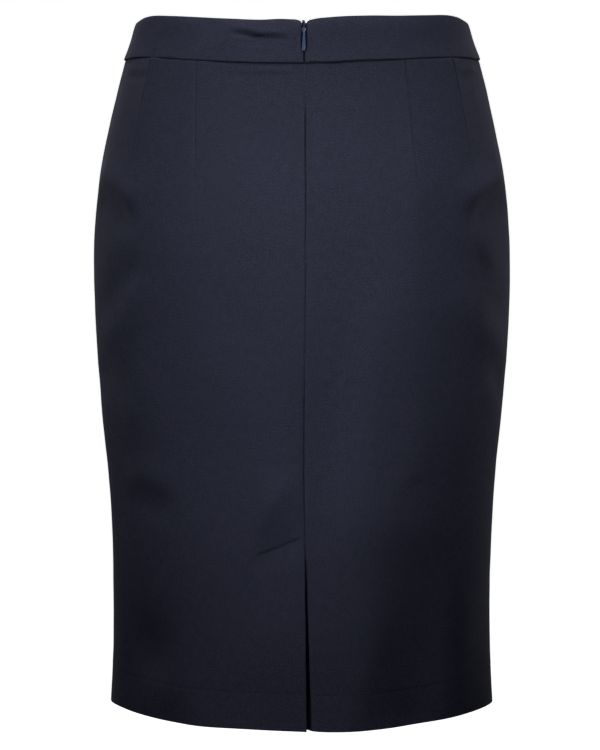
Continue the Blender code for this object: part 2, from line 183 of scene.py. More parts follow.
# %% [markdown]
# ## The skirt's form
# A pencil skirt is a tube that narrows at the waist and again at the knee. A place on it is a
# turn, in degrees round from the middle of the back towards the wearer's left, a drop below the
# waist, and a distance out from the surface. The sections are the model's own, so the fine cloth
# lies where the solid panels lie. Each is an oval, deeper or flatter behind than in front, and
# its squareness fills out the corners a little.

# %% Sections of the skirt
LENGTH = 0.600
TURNED = -1.1              # the skirt sits turned by this much on the wearer, in degrees

SECTION_COLUMNS = ("drop", "half_width", "back_depth", "front_depth", "squareness")
SECTIONS = (
    (0.000, 0.1396, 0.0925, 0.0940, 0.010),   # waist edge
    (0.038, 0.1512, 0.0985, 0.1010, 0.012),   # waist seam
    (0.090, 0.1640, 0.1100, 0.1090, 0.012),   # high hip
    (0.142, 0.1745, 0.1195, 0.1125, 0.012),
    (0.194, 0.1791, 0.1240, 0.1135, 0.014),   # seat
    (0.228, 0.1797, 0.1245, 0.1135, 0.015),   # full hip
    (0.281, 0.1783, 0.1225, 0.1125, 0.017),
    (0.333, 0.1744, 0.1200, 0.1110, 0.020),   # thigh
    (0.386, 0.1694, 0.1180, 0.1095, 0.022),
    (0.439, 0.1659, 0.1165, 0.1085, 0.024),
    (0.492, 0.1644, 0.1155, 0.1075, 0.025),
    (0.546, 0.1649, 0.1150, 0.1070, 0.025),
    (0.600, 0.1668, 0.1150, 0.1065, 0.025),   # hem
)


def curve_through(places, values, at):
    """A smooth curve through a table, read at any places; it stays level past the ends."""
    places = np.asarray(places, float)
    values = np.asarray(values, float)
    slopes = np.gradient(values, places, axis=0)
    at = np.clip(np.asarray(at, float), places[0], places[-1])
    row = np.clip(np.searchsorted(places, at, side="right") - 1, 0, len(places) - 2)
    span = places[row + 1] - places[row]
    t = (at - places[row]) / span
    if values.ndim > 1:
        span = span[..., None]
        t = t[..., None]
    curve = (2 * t**3 - 3 * t**2 + 1) * values[row] + (3 * t**2 - 2 * t**3) * values[row + 1]
    curve += (t**3 - 2 * t**2 + t) * span * slopes[row] + (t**3 - t**2) * span * slopes[row + 1]
    return curve


def column(table, names, name):
    """One named column of a table."""
    return np.array([row[names.index(name)] for row in table], float)


SECTION_DROPS = column(SECTIONS, SECTION_COLUMNS, "drop")
SECTION_SIZES = np.array(SECTIONS)[:, 1:]


def ring(turn, drop):
    """Points of the smooth skirt."""
    turn, drop = np.broadcast_arrays(np.asarray(turn, float), np.asarray(drop, float))
    sizes = curve_through(SECTION_DROPS, SECTION_SIZES, drop)
    half_width, back_depth, front_depth, square = np.moveaxis(sizes, -1, 0)
    angle = np.radians(turn)
    depth = np.where(np.cos(angle) > 0, back_depth, front_depth)
    x = half_width * (np.sin(angle) - square * np.sin(3 * angle)) / (1 + square)
    y = depth * (np.cos(angle) + square * np.cos(3 * angle)) / (1 + square)
    return np.stack([x, y, -drop], axis=-1)


def ring_normal(turn, drop):
    """Directions straight out of the smooth skirt."""
    step = 0.004
    high = np.clip(drop, step, LENGTH - step)
    down = ring(turn, high + step) - ring(turn, high - step)
    round_ = ring(turn + 0.5, high) - ring(turn - 0.5, high)
    normal = np.cross(round_, down)
    return normal / np.linalg.norm(normal, axis=-1, keepdims=True)


def per_radian_behind(drop):
    """Metres round the skirt for each radian of turn, near the middle of the back."""
    sizes = curve_through(SECTION_DROPS, SECTION_SIZES, drop)
    return sizes[..., 0] * (1 - 3 * sizes[..., 3]) / (1 + sizes[..., 3])


def turn_at(across, drop):
    """The turn at a distance across from the centre back line, near that line."""
    return TURNED + np.degrees(np.asarray(across) / per_radian_behind(drop))


def across_at(turn, drop):
    """The distance across from the centre back line, near that line."""
    return np.radians(wrapped(turn) - TURNED) * per_radian_behind(drop)


def wrapped(turn):
    """A turn between -180 and 180."""
    return (np.asarray(turn, float) + 180.0) % 360.0 - 180.0


def smooth_step(value, low, high):
    """0 up to low, 1 from high on, and a smooth rise between."""
    t = np.clip((np.asarray(value, float) - low) / (high - low), 0.0, 1.0)
    return t * t * (3 - 2 * t)


print("hip width:", 2000 * SECTION_SIZES[:, 0].max(), "mm")

# %% [markdown]
# ## Lines round the skirt
# The waist edge, the waist seam and the hem are not level. The edge dips towards the front, where
# a skirt sits lower, and sags a little beside the zip. Each line is a short table of turns and
# drops, with a smooth curve through it.

# %% Waist edge, waist seam and hem
EDGE_COLUMNS = ("turn", "drop")
WAIST_EDGE = (
    (-180, 0.0170), (-150, 0.0160), (-120, 0.0125), (-100, 0.0092), (-88, 0.0066),
    (-80, 0.0038), (-73, 0.0008), (-64, -0.0016), (-51, -0.0026), (-37, -0.0030),
    (-25, -0.0034), (-14, -0.0029), (-9, -0.0021), (-6.5, -0.0016), (-4.6, -0.0008),
    (-3, 0.0002), (-1.4, 0.0030), (0.2, 0.0014), (1.4, 0.0000), (2.3, -0.0005),
    (4, -0.0007), (8, -0.0010), (15, -0.0003), (26, -0.0009), (38, -0.0015),
    (53, -0.0017), (66, -0.0010), (73, 0.0010), (80, 0.0040), (88, 0.0066),
    (100, 0.0092), (120, 0.0125), (150, 0.0160), (180, 0.0170),
)
WAIST_SEAM = (
    (-180, 0.0492), (-140, 0.0491), (-125, 0.0475), (-110, 0.0443), (-98, 0.0408),
    (-84, 0.0378), (-65, 0.0344), (-49, 0.0333), (-34, 0.0336), (-18, 0.0340),
    (-8, 0.0352), (-4.5, 0.0347), (-2.2, 0.0358), (0, 0.0357), (14, 0.0355),
    (24, 0.0352), (36, 0.0346), (52, 0.0338), (66, 0.0344), (84, 0.0378),
    (98, 0.0408), (110, 0.0443), (125, 0.0475), (140, 0.0491), (180, 0.0492),
)
HEM = (
    (-180, 0.6000), (-120, 0.5996), (-79, 0.5992), (-63, 0.6000), (-48, 0.6008),
    (-33, 0.6016), (-16, 0.6012), (-9, 0.6009), (0, 0.5999), (20, 0.5992),
    (34, 0.6002), (50, 0.6008), (63, 0.6000), (75, 0.5987), (100, 0.5990), (180, 0.6000),
)


def line_round(table, turn):
    """Drop of a line round the skirt at a turn."""
    turns = column(table, EDGE_COLUMNS, "turn")
    return curve_through(turns, column(table, EDGE_COLUMNS, "drop"), wrapped(turn))


BAND_HEIGHT = float(line_round(WAIST_SEAM, 20) - line_round(WAIST_EDGE, 20))
print("band height behind:", round(1000 * BAND_HEIGHT, 1), "mm")

# %% [markdown]
# ## Folds
# Suiting hangs smooth, so its folds are few, long and shallow: drag lines where the hip pushes
# the cloth, hollows under them, and slack below the thighs. Each fold is one row: where its
# middle lies, half its length and half its width, its slant from upright, and its height, which
# is negative in a trough. A positive slant leans the top towards the wearer's left. Where a row
# goes on, a negative skew makes the side towards the wearer's left steeper, and bow bends the
# fold. A fold listed in the table stays where the maker wants it, which a simulation doesn't
# promise.

# %% Folds
PER_DEGREE = 0.0027        # metres round the skirt for each degree, in the tables of folds
FOLD_COLUMNS = ("turn", "drop", "along", "wide", "slant", "height", "skew", "bow")
FOLDS = (
    (54, 0.2110, 0.0170, 0.0090, -40, -0.0009),             # hollow above the left ridge
    (-59, 0.2040, 0.0160, 0.0090, 42, -0.0012),             # hollow above the right ridge
    (72, 0.3060, 0.0260, 0.0150, -46, -0.0018),             # hollow below the left ridge
    (61, 0.3060, 0.0200, 0.0150, -30, -0.0004),
    (54, 0.5400, 0.0270, 0.0230, 2, -0.0042),               # hollow beside the left knee
    (-74, 0.3090, 0.0280, 0.0150, 48, -0.0024),             # hollow below the right ridge
    (51, 0.3130, 0.0160, 0.0100, -10, 0.0008),              # small rises beside the left hollow
    (59, 0.3340, 0.0180, 0.0120, 0, 0.0014),
    (59, 0.5186, 0.0600, 0.0240, 3, -0.0014),               # slack below the left thigh
    (-22, 0.3000, 0.1100, 0.0110, -1, 0.0008),              # long ridge right of the middle
    (-28, 0.4494, 0.1020, 0.0228, 20, 0.0014, 0.57, 0.11),  # edge of the slack on the right
    (-43, 0.5500, 0.0620, 0.0320, 0, -0.0030),              # slack below the right thigh
    (-28, 0.3320, 0.0850, 0.0340, 0, 0.0028),               # fullness of the right thigh
    (-34, 0.4290, 0.0480, 0.0300, 82, 0.0024),              # its lower edge, nearly level
    (-47, 0.3400, 0.0800, 0.0450, 0, 0.0018),               # and its outer side
    (-39, 0.5200, 0.0700, 0.0342, -6, -0.0023, 0.35, 0.08), # more slack below it
    (66, 0.5811, 0.0837, 0.0380, -21, -0.0019, -0.55, 0.29),  # broad hollows beside the knees
    (-68, 0.5852, 0.0650, 0.0362, 1, -0.0026, -0.06, 0.28),
    (33, 0.6179, 0.0460, 0.0317, -10, 0.0039, -0.68, -0.23),  # back of the left thigh
    (-18, 0.5763, 0.0870, 0.0190, -14, 0.0029, 0.06, -0.08),  # back of the right thigh
    (77, 0.4250, 0.1680, 0.0180, 1, 0.0027, -0.36, -0.09),  # left flank
    (-70, 0.3680, 0.1066, 0.0271, -8, -0.0010, -0.33, -0.09),  # right flank
    (34, 0.2500, 0.1224, 0.0372, -5, 0.0004, 0.07, -0.10),  # sides of the seat
    (-31, 0.2613, 0.1530, 0.0266, 4, 0.0037, 0.14, 0.14),
    (44, 0.5711, 0.0196, 0.0203, 0, 0.0007, -0.01, 0.08),   # beside the left knee
    (-37, 0.5990, 0.0220, 0.0230, -1, -0.0023, 0.13, -0.03),  # beside the right knee
    (13, 0.5033, 0.0620, 0.0187, 13, 0.0011, -0.14, -0.15), # between the thighs
    (-20, 0.4560, 0.0717, 0.0246, -3, 0.0022, 0.24, 0.30),
    (85, 0.1298, 0.0745, 0.0285, 2, -0.0011, 0.19, 0.12),   # flanks, hip to hem
    (91, 0.2812, 0.0955, 0.0283, -5, -0.0021, -0.10, 0.30),
    (-78, 0.1467, 0.0410, 0.0263, -4, 0.0017, 0.15, 0.11),
    (-78, 0.3062, 0.0848, 0.0249, -8, 0.0018, 0.41, 0.30),
    (-79, 0.5803, 0.0489, 0.0251, 11, 0.0033, 0.52, 0.30),
    (36, 0.0955, 0.0453, 0.0281, 0, 0.0005, -0.04, 0.02),   # fullness below the band
    (-41, 0.0834, 0.0437, 0.0296, 2, -0.0007, 0.18, 0.06),
    (-14, 0.3074, 0.1656, 0.0388, -11, -0.0023, -0.59, -0.18),  # hollow under the seat
    (110, 0.1650, 0.040, 0.0100, -64, -0.0016, 0.0, 0.2),   # the front, as behind
    (-112, 0.1600, 0.038, 0.0100, 64, -0.0014, 0.0, -0.2),
    (124, 0.2950, 0.070, 0.0180, 34, 0.0014),
    (-126, 0.3050, 0.066, 0.0170, -36, 0.0013),
    (140, 0.3300, 0.080, 0.0220, 24, -0.0020),
    (-142, 0.3450, 0.080, 0.0220, -24, -0.0019),
    (150, 0.2100, 0.050, 0.0160, 70, 0.0007),
    (-158, 0.2400, 0.060, 0.0180, -66, 0.0006),
    (172, 0.5000, 0.110, 0.0300, 4, -0.0020),
    (-150, 0.5100, 0.100, 0.0200, -6, 0.0012),
    (132, 0.5000, 0.090, 0.0260, 8, -0.0018),
)
BAND_FOLDS = (
    (88, 0.0180, 0.030, 0.0080, 90, -0.0002),               # the band's hollow at each side
    (-90, 0.0180, 0.030, 0.0080, 90, -0.0002),
    (-120, 0.0300, 0.020, 0.0030, -76, -0.0005),            # soft rolls in front
    (150, 0.0300, 0.024, 0.0030, 82, -0.0004),
)


def fold_height(table, turn, drop):
    """How far a table of folds moves the cloth out."""
    height = 0.0
    for row in table:
        fold = dict(zip(FOLD_COLUMNS, row))
        sideways = wrapped(turn - fold["turn"]) * PER_DEGREE
        downwards = drop - fold["drop"]
        lean = radians(fold["slant"])
        length_way = (downwards * cos(lean) - sideways * sin(lean)) / fold["along"]
        width_way = (downwards * sin(lean) + sideways * cos(lean)) / fold["wide"]
        bend = fold.get("bow", 0.0) * length_way**2
        width_way = width_way + bend * fold["along"] / fold["wide"]
        width_way = width_way * (1 - fold.get("skew", 0.0) * np.tanh(width_way))
        height = height + fold["height"] * np.exp(-length_way**2 - width_way**2)
    return height


print("folds:", len(FOLDS), "and in the band:", len(BAND_FOLDS))

# %% [markdown]
# ## Creases
# A crease is sharper than a fold: the cloth rises on one side of a line and dips on the other,
# as it does where a seam or a hip pulls it. Each row is a line of turns and drops, how far the
# step lies to each side, and its height. Seen from outside, the cloth stands out to the left of
# the way the line runs, and a crease fades towards both its ends.

# %% Creases
CREASE_COLUMNS = ("points", "half_width", "height")
CREASES = (
    (((84, 0.1444), (78, 0.1460), (71, 0.1487), (65, 0.1522), (59, 0.1580), (52, 0.1672)),
     0.0118, 0.0031),                                       # dents over the hip bones
    (((-51, 0.1672), (-58, 0.1580), (-64, 0.1522), (-70, 0.1487), (-77, 0.1460), (-83, 0.1444)),
     0.0118, 0.0036),
    (((46, 0.2050), (56, 0.2290), (66, 0.2530), (80, 0.2780)), 0.0150, 0.0012),    # hip ridges
    (((-82, 0.2810), (-67, 0.2570), (-56, 0.2340), (-44, 0.2070)), 0.0150, 0.0012),
    (((65, 0.4000), (53, 0.4000), (41, 0.4014)), 0.0120, 0.0016),         # left knee's dimple
    (((-15, 0.2100), (-14, 0.3000), (-13, 0.3800), (-12, 0.4600)), 0.0150, 0.0013),
    (((28, 0.2060), (20, 0.2300), (12, 0.2560)), 0.0070, 0.0003),         # faint drag lines
    (((-31, 0.3960), (-37, 0.3870), (-42, 0.3800)), 0.0050, 0.0002),
    (((42, 0.4440), (49, 0.4740), (56, 0.5000)), 0.0080, 0.0007),
    (((77, 0.0480), (66, 0.0476), (55, 0.0480)), 0.0028, 0.0007),         # below the band
    (((-56, 0.0480), (-66, 0.0476), (-77, 0.0485)), 0.0028, 0.0007),
    (((24, 0.0438), (12, 0.0436), (0, 0.0440)), 0.0018, 0.0006),
)
BAND_CREASES = (
    (((29, -0.0020), (29, 0.0080), (28, 0.0180)), 0.0110, 0.0008),        # buckle's left end
    (((27, 0.0083), (20, 0.0102), (15.5, 0.0124), (11, 0.0129), (4, 0.0138)), 0.0026, 0.0010),
    (((19, 0.0110), (15.5, 0.0128), (12, 0.0134)), 0.0014, 0.0006),
    (((27, 0.0160), (20, 0.0174), (13, 0.0184), (6, 0.0196)), 0.0018, 0.0004),
    (((17, 0.0125), (25, 0.0115), (32, 0.0105), (40, 0.0100)), 0.0085, 0.0007),
)
LINE_STEPS = 6             # straight steps between two of a line's points
CREASE_REACH = 4.5         # a crease ends this many half widths from its line
PAST_END = 9.0             # the end steps are carried on by this many times their length


def line_distances(line, sideways, downwards):
    """Signed distances from a line, positive on its left, and the share of the way along it."""
    steps = np.diff(line, axis=0)
    lengths = np.hypot(steps[:, 0], steps[:, 1])
    starts = np.concatenate([[0.0], np.cumsum(lengths)])
    nearest = np.full(sideways.shape, 1.0)
    signed = np.zeros(sideways.shape)
    along = np.zeros(sideways.shape)
    for i, (step, length) in enumerate(zip(steps, lengths)):
        x, y = sideways - line[i, 0], downwards - line[i, 1]
        share = (x * step[0] + y * step[1]) / length**2
        low = -PAST_END if i == 0 else 0.0
        high = PAST_END if i == len(steps) - 1 else 1.0
        held = np.clip(share, low, high)
        away = np.hypot(x - held * step[0], y - held * step[1])
        side = np.sign(step[0] * y - step[1] * x)
        closer = away < nearest
        nearest = np.where(closer, away, nearest)
        signed = np.where(closer, away * side, signed)
        along = np.where(closer, (starts[i] + held * length) / starts[-1], along)
    return signed, along


def crease_height(table, turn, drop):
    """How far a table of creases moves the cloth out."""
    turn, drop = np.broadcast_arrays(np.asarray(turn, float), np.asarray(drop, float))
    height = np.zeros(turn.shape)
    for row in table:
        crease = dict(zip(CREASE_COLUMNS, row))
        points = np.array(crease["points"], float)
        spans = len(points) - 1
        places = np.linspace(0, spans, LINE_STEPS * spans + 1)
        line = curve_through(np.arange(spans + 1), points, places)
        reach = CREASE_REACH * crease["half_width"]
        middle = (line[:, 0].min() + line[:, 0].max()) / 2
        near = (drop > line[:, 1].min() - reach) & (drop < line[:, 1].max() + reach)
        near &= np.abs(wrapped(turn - middle)) < np.ptp(line[:, 0]) / 2 + reach / PER_DEGREE
        sideways = wrapped(turn[near] - line[0, 0]) * PER_DEGREE
        line[:, 0] = (line[:, 0] - line[0, 0]) * PER_DEGREE
        signed, along = line_distances(line, sideways, drop[near])
        strength = smooth_step(along, -0.05, 0.30) * (1 - smooth_step(along, 0.70, 1.05))
        share = signed / crease["half_width"]
        height[near] += crease["height"] * strength * share * np.exp(0.5 - 0.5 * share**2)
    return height


print("creases:", len(CREASES), "and in the band:", len(BAND_CREASES))

# %% [markdown]
# ## Small unevenness
# No cloth is as smooth as a formula. A handful of long, faint waves of different lengths and
# directions, from a seeded draw, breaks up the highlights. Puckers are the short waves that
# stitching pulls into a seam: they run along it and die out within a few millimetres.

# %% Waves and puckers
WAVES_DRAW = np.random.default_rng(11)
WAVES = [
    (length, WAVES_DRAW.uniform(0, pi), WAVES_DRAW.uniform(0, 2 * pi), tall)
    for length, tall in ((0.170, 0.00040), (0.120, 0.00030), (0.083, 0.00017), (0.061, 0.00012),
                         (0.043, 0.00006), (0.031, 0.00004), (0.022, 0.00002))
]


def unevenness(turn, drop):
    """Faint waves all over the cloth."""
    along = wrapped(turn) * PER_DEGREE
    height = 0.0
    for length, way, phase, tall in WAVES:
        place = along * cos(way) + drop * sin(way)
        height = height + tall * np.sin(2 * pi * place / length + phase)
    return height


PUCKER_WAVES = ((0.0090, 1.0, 0.0), (0.0137, 0.7, 1.3), (0.0231, 0.6, 0.4))   # length, share, phase


def puckers(along, away, reach, tall):
    """Short waves along a seam, which die out away from it."""
    waves = sum(share * np.sin(2 * pi * along / length + phase)
                for length, share, phase in PUCKER_WAVES)
    return tall * waves * np.exp(-(away / reach) ** 2)


print("waves:", len(WAVES), "from", WAVES[0][0], "to", WAVES[-1][0], "m long")

# %% [markdown]
# ## Darts
# A dart is a tapered fold sewn into the panel, so that flat cloth turns round the waist. Outside
# it shows as a fine line that fades to a point, with a little fullness where it ends. The four
# at the back and the two at the front are rows of one table: the line's turn at the waist seam
# and at its point, the drop of that point, how far the cloth stands out along the line, and how
# deep the line is. Both are greatest at the seam.

# %% Darts
DART_COLUMNS = ("name", "seam_turn", "point_turn", "point_drop", "edge", "groove")
DARTS = (
    ("left_inner", 36.6, 31.5, 0.142, 0.0009, 0.0010),
    ("left_outer", 57.4, 57.8, 0.146, 0.0027, 0.0012),
    ("right_inner", -36.1, -34.8, 0.143, 0.0008, 0.0011),
    ("right_outer", -58.2, -58.4, 0.144, 0.0027, 0.0012),
    ("front_left", 147.0, 150.5, 0.135, 0.0008, 0.0013),
    ("front_right", 210.8, 207.4, 0.135, 0.0008, 0.0013),
)
DART_GROOVE_WIDTH = 0.00062
DART_EDGE_WIDTH = 0.016
DART_TOP = 0.036           # a dart starts at the waist seam
DART_FADE = 0.095          # and fades over this much above its point
DART_CARRIED = 1.6         # its line is carried on to this many times its length
FULLNESS = 0.00035         # rise of the cloth below a dart's point
FULLNESS_BELOW = 0.010
FULLNESS_SIZE = (0.010, 0.016)


def dart_turn(dart, drop):
    """The turn of a dart's line, carried on below its point."""
    down = np.asarray(drop, float) - DART_TOP
    share = np.clip(down / (dart["point_drop"] - DART_TOP), 0.0, DART_CARRIED)
    return dart["seam_turn"] + (dart["point_turn"] - dart["seam_turn"]) * share


def dart_relief(turn, drop):
    """Grooves and fullness of all the darts."""
    height = 0.0
    for row in DARTS:
        dart = dict(zip(DART_COLUMNS, row))
        away = wrapped(turn - dart_turn(dart, drop)) * PER_DEGREE
        left = np.clip((dart["point_drop"] - drop) / DART_FADE, 0.0, 1.0)
        groove = dart["groove"] * np.sqrt(left) * np.exp(-(away / DART_GROOVE_WIDTH) ** 2)
        edge = dart["edge"] * left * np.exp(-np.abs(away) / DART_EDGE_WIDTH)
        below = (drop - dart["point_drop"] - FULLNESS_BELOW) / FULLNESS_SIZE[1]
        fullness = FULLNESS * np.exp(-(below**2) - (away / FULLNESS_SIZE[0]) ** 2)
        height = height + edge - groove + fullness
    return height


print("darts:", ", ".join(row[0] for row in DARTS))

# %% [markdown]
# ## The centre back line
# The two back panels meet along the middle of the back. Beside the zip their folds roll towards
# it and stand a little apart. Where the zip ends the seam starts, with a small dimple, and there
# the folds press into each other, so that no light comes through. Below the seam the vent opens.

# %% Centre back line
ZIP_END = 0.1963
VENT_TOP = 0.4325
CENTRE_COLUMNS = ("drop", "across", "half_gap")
CENTRE_LINE = (
    (0.036, 0.0000, -0.00020), (0.066, -0.0001, -0.00015), (0.078, -0.0002, 0.00024),
    (0.120, -0.0003, 0.00024), (0.180, -0.0002, 0.00018), (0.200, -0.0001, -0.00002),
    (0.240, 0.0001, -0.00003), (0.280, 0.0003, -0.00003), (0.320, 0.0006, -0.00003),
    (0.360, 0.0008, -0.00003), (0.390, 0.0006, -0.00003), (0.424, 0.0001, -0.00003),
    (0.433, 0.0000, 0.00020), (0.440, 0.0000, 0.00036), (0.470, 0.0000, 0.00030),
    (0.600, 0.0000, 0.00022),
)
LIPS = (                   # place across, width and height of each roll beside the zip
    (0.0014, 0.0008, 0.00022), (0.0030, 0.0010, -0.00020),     # left fold and its valley
    (-0.0013, 0.0008, 0.00012), (-0.0027, 0.0010, -0.00020),   # right fold and its valley
)
ZIP_DIMPLE = 0.0009
ZIP_DIMPLE_SIZE = 0.0017
SEAM_ROLL = 0.00045        # the cloth rolls in by this much at the line
SEAM_ROLL_MORE = 0.00030   # and by this much more below the zip
SEAM_ROLL_WIDTH = 0.0009
DRAG = 0.00120             # the left panel is pulled in beside the line, above the vent
DRAG_WIDTH = 0.0032


def centre(drops, name):
    """Where the two back panels meet, and half the gap between their folds."""
    values = column(CENTRE_LINE, CENTRE_COLUMNS, name)
    return curve_through(column(CENTRE_LINE, CENTRE_COLUMNS, "drop"), values, drops)


def lip_relief(across, drop, side):
    """Rolled cloth on both sides of the zip, and on both sides of the seam below it."""
    beside_zip = smooth_step(drop, 0.038, 0.048) * (1 - smooth_step(drop, 0.185, 0.200))
    shallow = 1.0 - 0.5 * smooth_step(drop, 0.09, 0.12)
    lips = sum(height * np.exp(-((across - place) / width) ** 2) for place, width, height in LIPS)
    away = np.hypot(across, (drop - ZIP_END) * 0.7)
    dimple = -ZIP_DIMPLE * np.exp(-((away / ZIP_DIMPLE_SIZE) ** 2))
    from_line = np.abs(across - centre(drop, "across"))
    closed = smooth_step(drop, 0.066, 0.080) * (1 - smooth_step(drop, VENT_TOP, VENT_TOP + 0.01))
    deep = SEAM_ROLL + SEAM_ROLL_MORE * smooth_step(drop, 0.190, 0.205)
    roll = -deep * closed * np.exp(-from_line / SEAM_ROLL_WIDTH)
    if side > 0:
        dragged = smooth_step(drop, 0.26, 0.32) * (1 - smooth_step(drop, 0.42, 0.44))
        roll = roll - DRAG * dragged * np.exp(-from_line / DRAG_WIDTH)
    return lips * beside_zip * shallow + dimple + roll


print("seam below the zip:", round(1000 * (VENT_TOP - ZIP_END)), "mm")

# %% [markdown]
# ## The vent
# The left panel's edge laps over the vent, and its facing is held inside by one slanting row of
# stitches. The row pulls a crease into the panel: the cloth above it stands out in a triangle,
# the cloth below it is drawn in as a shallow valley, and the free flap stands out a little. The
# right panel steps in under the left one and carries on as the underlap. It sinks away towards
# the hem, while the flap's edge drifts across, so that a narrow wedge of shadow opens.

# %% Vent
VENT_SLANT = 0.40          # fall of the facing's top edge for each metre across
STITCH_SAG = 2.0           # how much the row of stitches bows, for each metre
VENT_STITCH_END = 0.0362
VENT_GROOVE = (0.00018, 0.00008)       # depth of the stitched line, and how much more at its end
VENT_GROOVE_WIDTH = 0.0009
TRIANGLE_HEIGHT = 0.0026
TRIANGLE_SIDE = (0.0230, 0.394, 0.42)  # width at a drop, and how fast it widens below that
VALLEY = 0.0014
FLAP_OUT = 0.0010
STITCH_END_DENT = 0.0003
FLAP_SHIFT = 0.0017        # the flap's edge drifts across by this much at the hem
UNDER_FLAP = 0.0024        # how far the underlap lies in from the surface at the vent's top
UNDERLAP_SINK = 0.0058     # and how much more at the hem


def vent_share(drop):
    """0 at the vent's top, 1 at the hem."""
    return np.clip((drop - VENT_TOP) / (LENGTH - VENT_TOP), 0.0, 1.0)


def flap_edge(drops):
    """Where the left panel's fold runs."""
    line = centre(drops, "across") + centre(drops, "half_gap")
    return line - FLAP_SHIFT * vent_share(drops)**0.8


def stitch_drop(across):
    """Drop of the slanting row of stitches that holds the vent's facing."""
    inside = np.clip(across, 0.0, VENT_STITCH_END)
    return VENT_TOP + VENT_SLANT * across - STITCH_SAG * inside * (VENT_STITCH_END - inside)


def triangle(across, drop, away):
    """The cloth that stands out above the stitches, and the valley drawn in below them."""
    wide, level, spread = TRIANGLE_SIDE
    side = wide + spread * (drop - level)
    beyond = np.clip(across - side, 0.0, None)
    soft = 0.0007 + 0.0140 * smooth_step(beyond, -0.0010, 0.0060)
    above = TRIANGLE_HEIGHT * smooth_step(drop, 0.370, 0.405) * np.exp(-beyond / 0.0160)
    above = above * (1 - 0.45 * smooth_step(drop, 0.400, 0.442))
    above = above * np.clip(across / side, 0.0, 1.0) * (1 - smooth_step(away, -0.0006, soft))
    pulled = np.clip(1 + away / 0.050, 0.0, 1.0) * (1 - smooth_step(away, 0.0, 0.024))
    pulled = pulled * smooth_step(across, 0.0, 0.006)
    pulled = pulled * (1 - smooth_step(across - side, -0.006, 0.004))
    return above - VALLEY * pulled


def vent_relief(across, drop):
    """All that the vent does to the left panel."""
    away = drop - stitch_drop(across)
    on_line = smooth_step(across, -0.001, 0.002)
    on_line = on_line * (1 - smooth_step(across, VENT_STITCH_END - 0.001, VENT_STITCH_END + 0.003))
    deep = VENT_GROOVE[0] + VENT_GROOVE[1] * smooth_step(across, 0.008, 0.034)
    groove = -deep * np.exp(-((away / VENT_GROOVE_WIDTH) ** 2))
    held = 1 - smooth_step(across, 0.034, 0.046)
    relief = groove * on_line + triangle(across, drop, away) * held
    relief = relief + puckers(across, away, 0.004, 0.00010) * on_line
    free = smooth_step(drop, VENT_TOP, VENT_TOP + 0.020)
    relief = relief + FLAP_OUT * free * np.exp(-across / 0.0140)
    end = np.hypot(across - VENT_STITCH_END, away)
    return relief - STITCH_END_DENT * np.exp(-((end / 0.003) ** 2))


def underlap_relief(across, drop):
    """The right panel rolls in beside the vent's fold and goes on as the underlap."""
    share = vent_share(drop)
    opened = smooth_step(drop, VENT_TOP - 0.006, VENT_TOP + 0.010)
    deep = UNDER_FLAP + UNDERLAP_SINK * share
    wide = 0.0006 + 0.0056 * share
    beside = flap_edge(drop) - across
    ramp = np.exp(-np.clip(beside - wide, 0.0, None) / (0.0015 + 0.0030 * share))
    wall = 1 - smooth_step(beside, -0.0006, wide)
    return -opened * deep * (0.25 * ramp + 0.75 * wall)


print("vent:", round(1000 * (LENGTH - VENT_TOP)), "mm long")

# %% [markdown]
# ## Hem, waist seam and a panel's whole relief
# Inside, the hem's turned edge shows through as a faint line, and the doubled cloth below it
# flares out a little. At the waist seam the panels dip in under the band's lower fold. With these
# two, everything that moves a panel's face from the smooth skirt can be added up.

# %% Hem, waist seam and whole relief
HEM_TURN = 0.0315
HEM_STEP = 0.00005
HEM_LINE = 0.00011
HEM_LINE_WIDTH = 0.0012
HEM_FLARE = 0.0012
TUCK = (0.00060, 0.00070)  # depth under the band at the middle, and how much more at the sides


def hem_relief(turn, drop):
    """The line over the hem's turned edge, and the flare below it."""
    above = drop - (line_round(HEM, turn) - HEM_TURN)
    step = -HEM_STEP * smooth_step(above, -0.0012, 0.0010)
    level = 1 - smooth_step(np.abs(np.sin(np.radians(turn))), 0.45, 0.85)
    flare = HEM_FLARE * level * np.clip(above / HEM_TURN, 0.0, 1.0) ** 2
    return flare + step - HEM_LINE * np.exp(-((above / HEM_LINE_WIDTH) ** 2))


def tuck(turn, drop):
    """The panels dip in under the band's lower fold, and follow the band above it."""
    below = drop - line_round(WAIST_SEAM, turn)
    inside = 1 - smooth_step(below, 0.0001, 0.0011)
    deep = TUCK[0] + TUCK[1] * smooth_step(np.abs(wrapped(turn)), 38, 62)
    dip = inside * (fold_height(BAND_FOLDS, turn, drop) - deep)
    return dip + puckers(wrapped(turn) * PER_DEGREE, below, 0.005, 0.00007)


def panel_relief(turn, drop, side):
    """Everything that moves a panel's face; side is 1 on the left, -1 on the right, 0 in front."""
    height = fold_height(FOLDS, turn, drop) + crease_height(CREASES, turn, drop)
    height = height + unevenness(turn, drop)
    height = height + dart_relief(turn, drop) + hem_relief(turn, drop) + tuck(turn, drop)
    across = across_at(turn, drop)
    if side > 0:
        return height + lip_relief(across, drop, side) + vent_relief(across, drop)
    if side < 0:
        return height + lip_relief(across, drop, side) + underlap_relief(across, drop)
    return height


seat_relief = float(panel_relief(20.0, 0.25, 1))
print("relief at one place on the seat:", round(1000 * seat_relief, 2), "mm")

# %% [markdown]
# ## Small helpers
# Modifiers are applied with an operator, and an operator acts on what is selected, so each piece
# is first made the only selected one. Graded places give a grid close steps where the cloth bends
# and wide ones elsewhere, which keeps the mesh small.

# %% Small helpers
GROWTH = 1.35              # each graded step is this much longer than the one before


def only(piece):
    """Make a piece the only selected one, and the active one."""
    bpy.ops.object.select_all(action="DESELECT")
    piece.select_set(True)
    bpy.context.view_layer.objects.active = piece


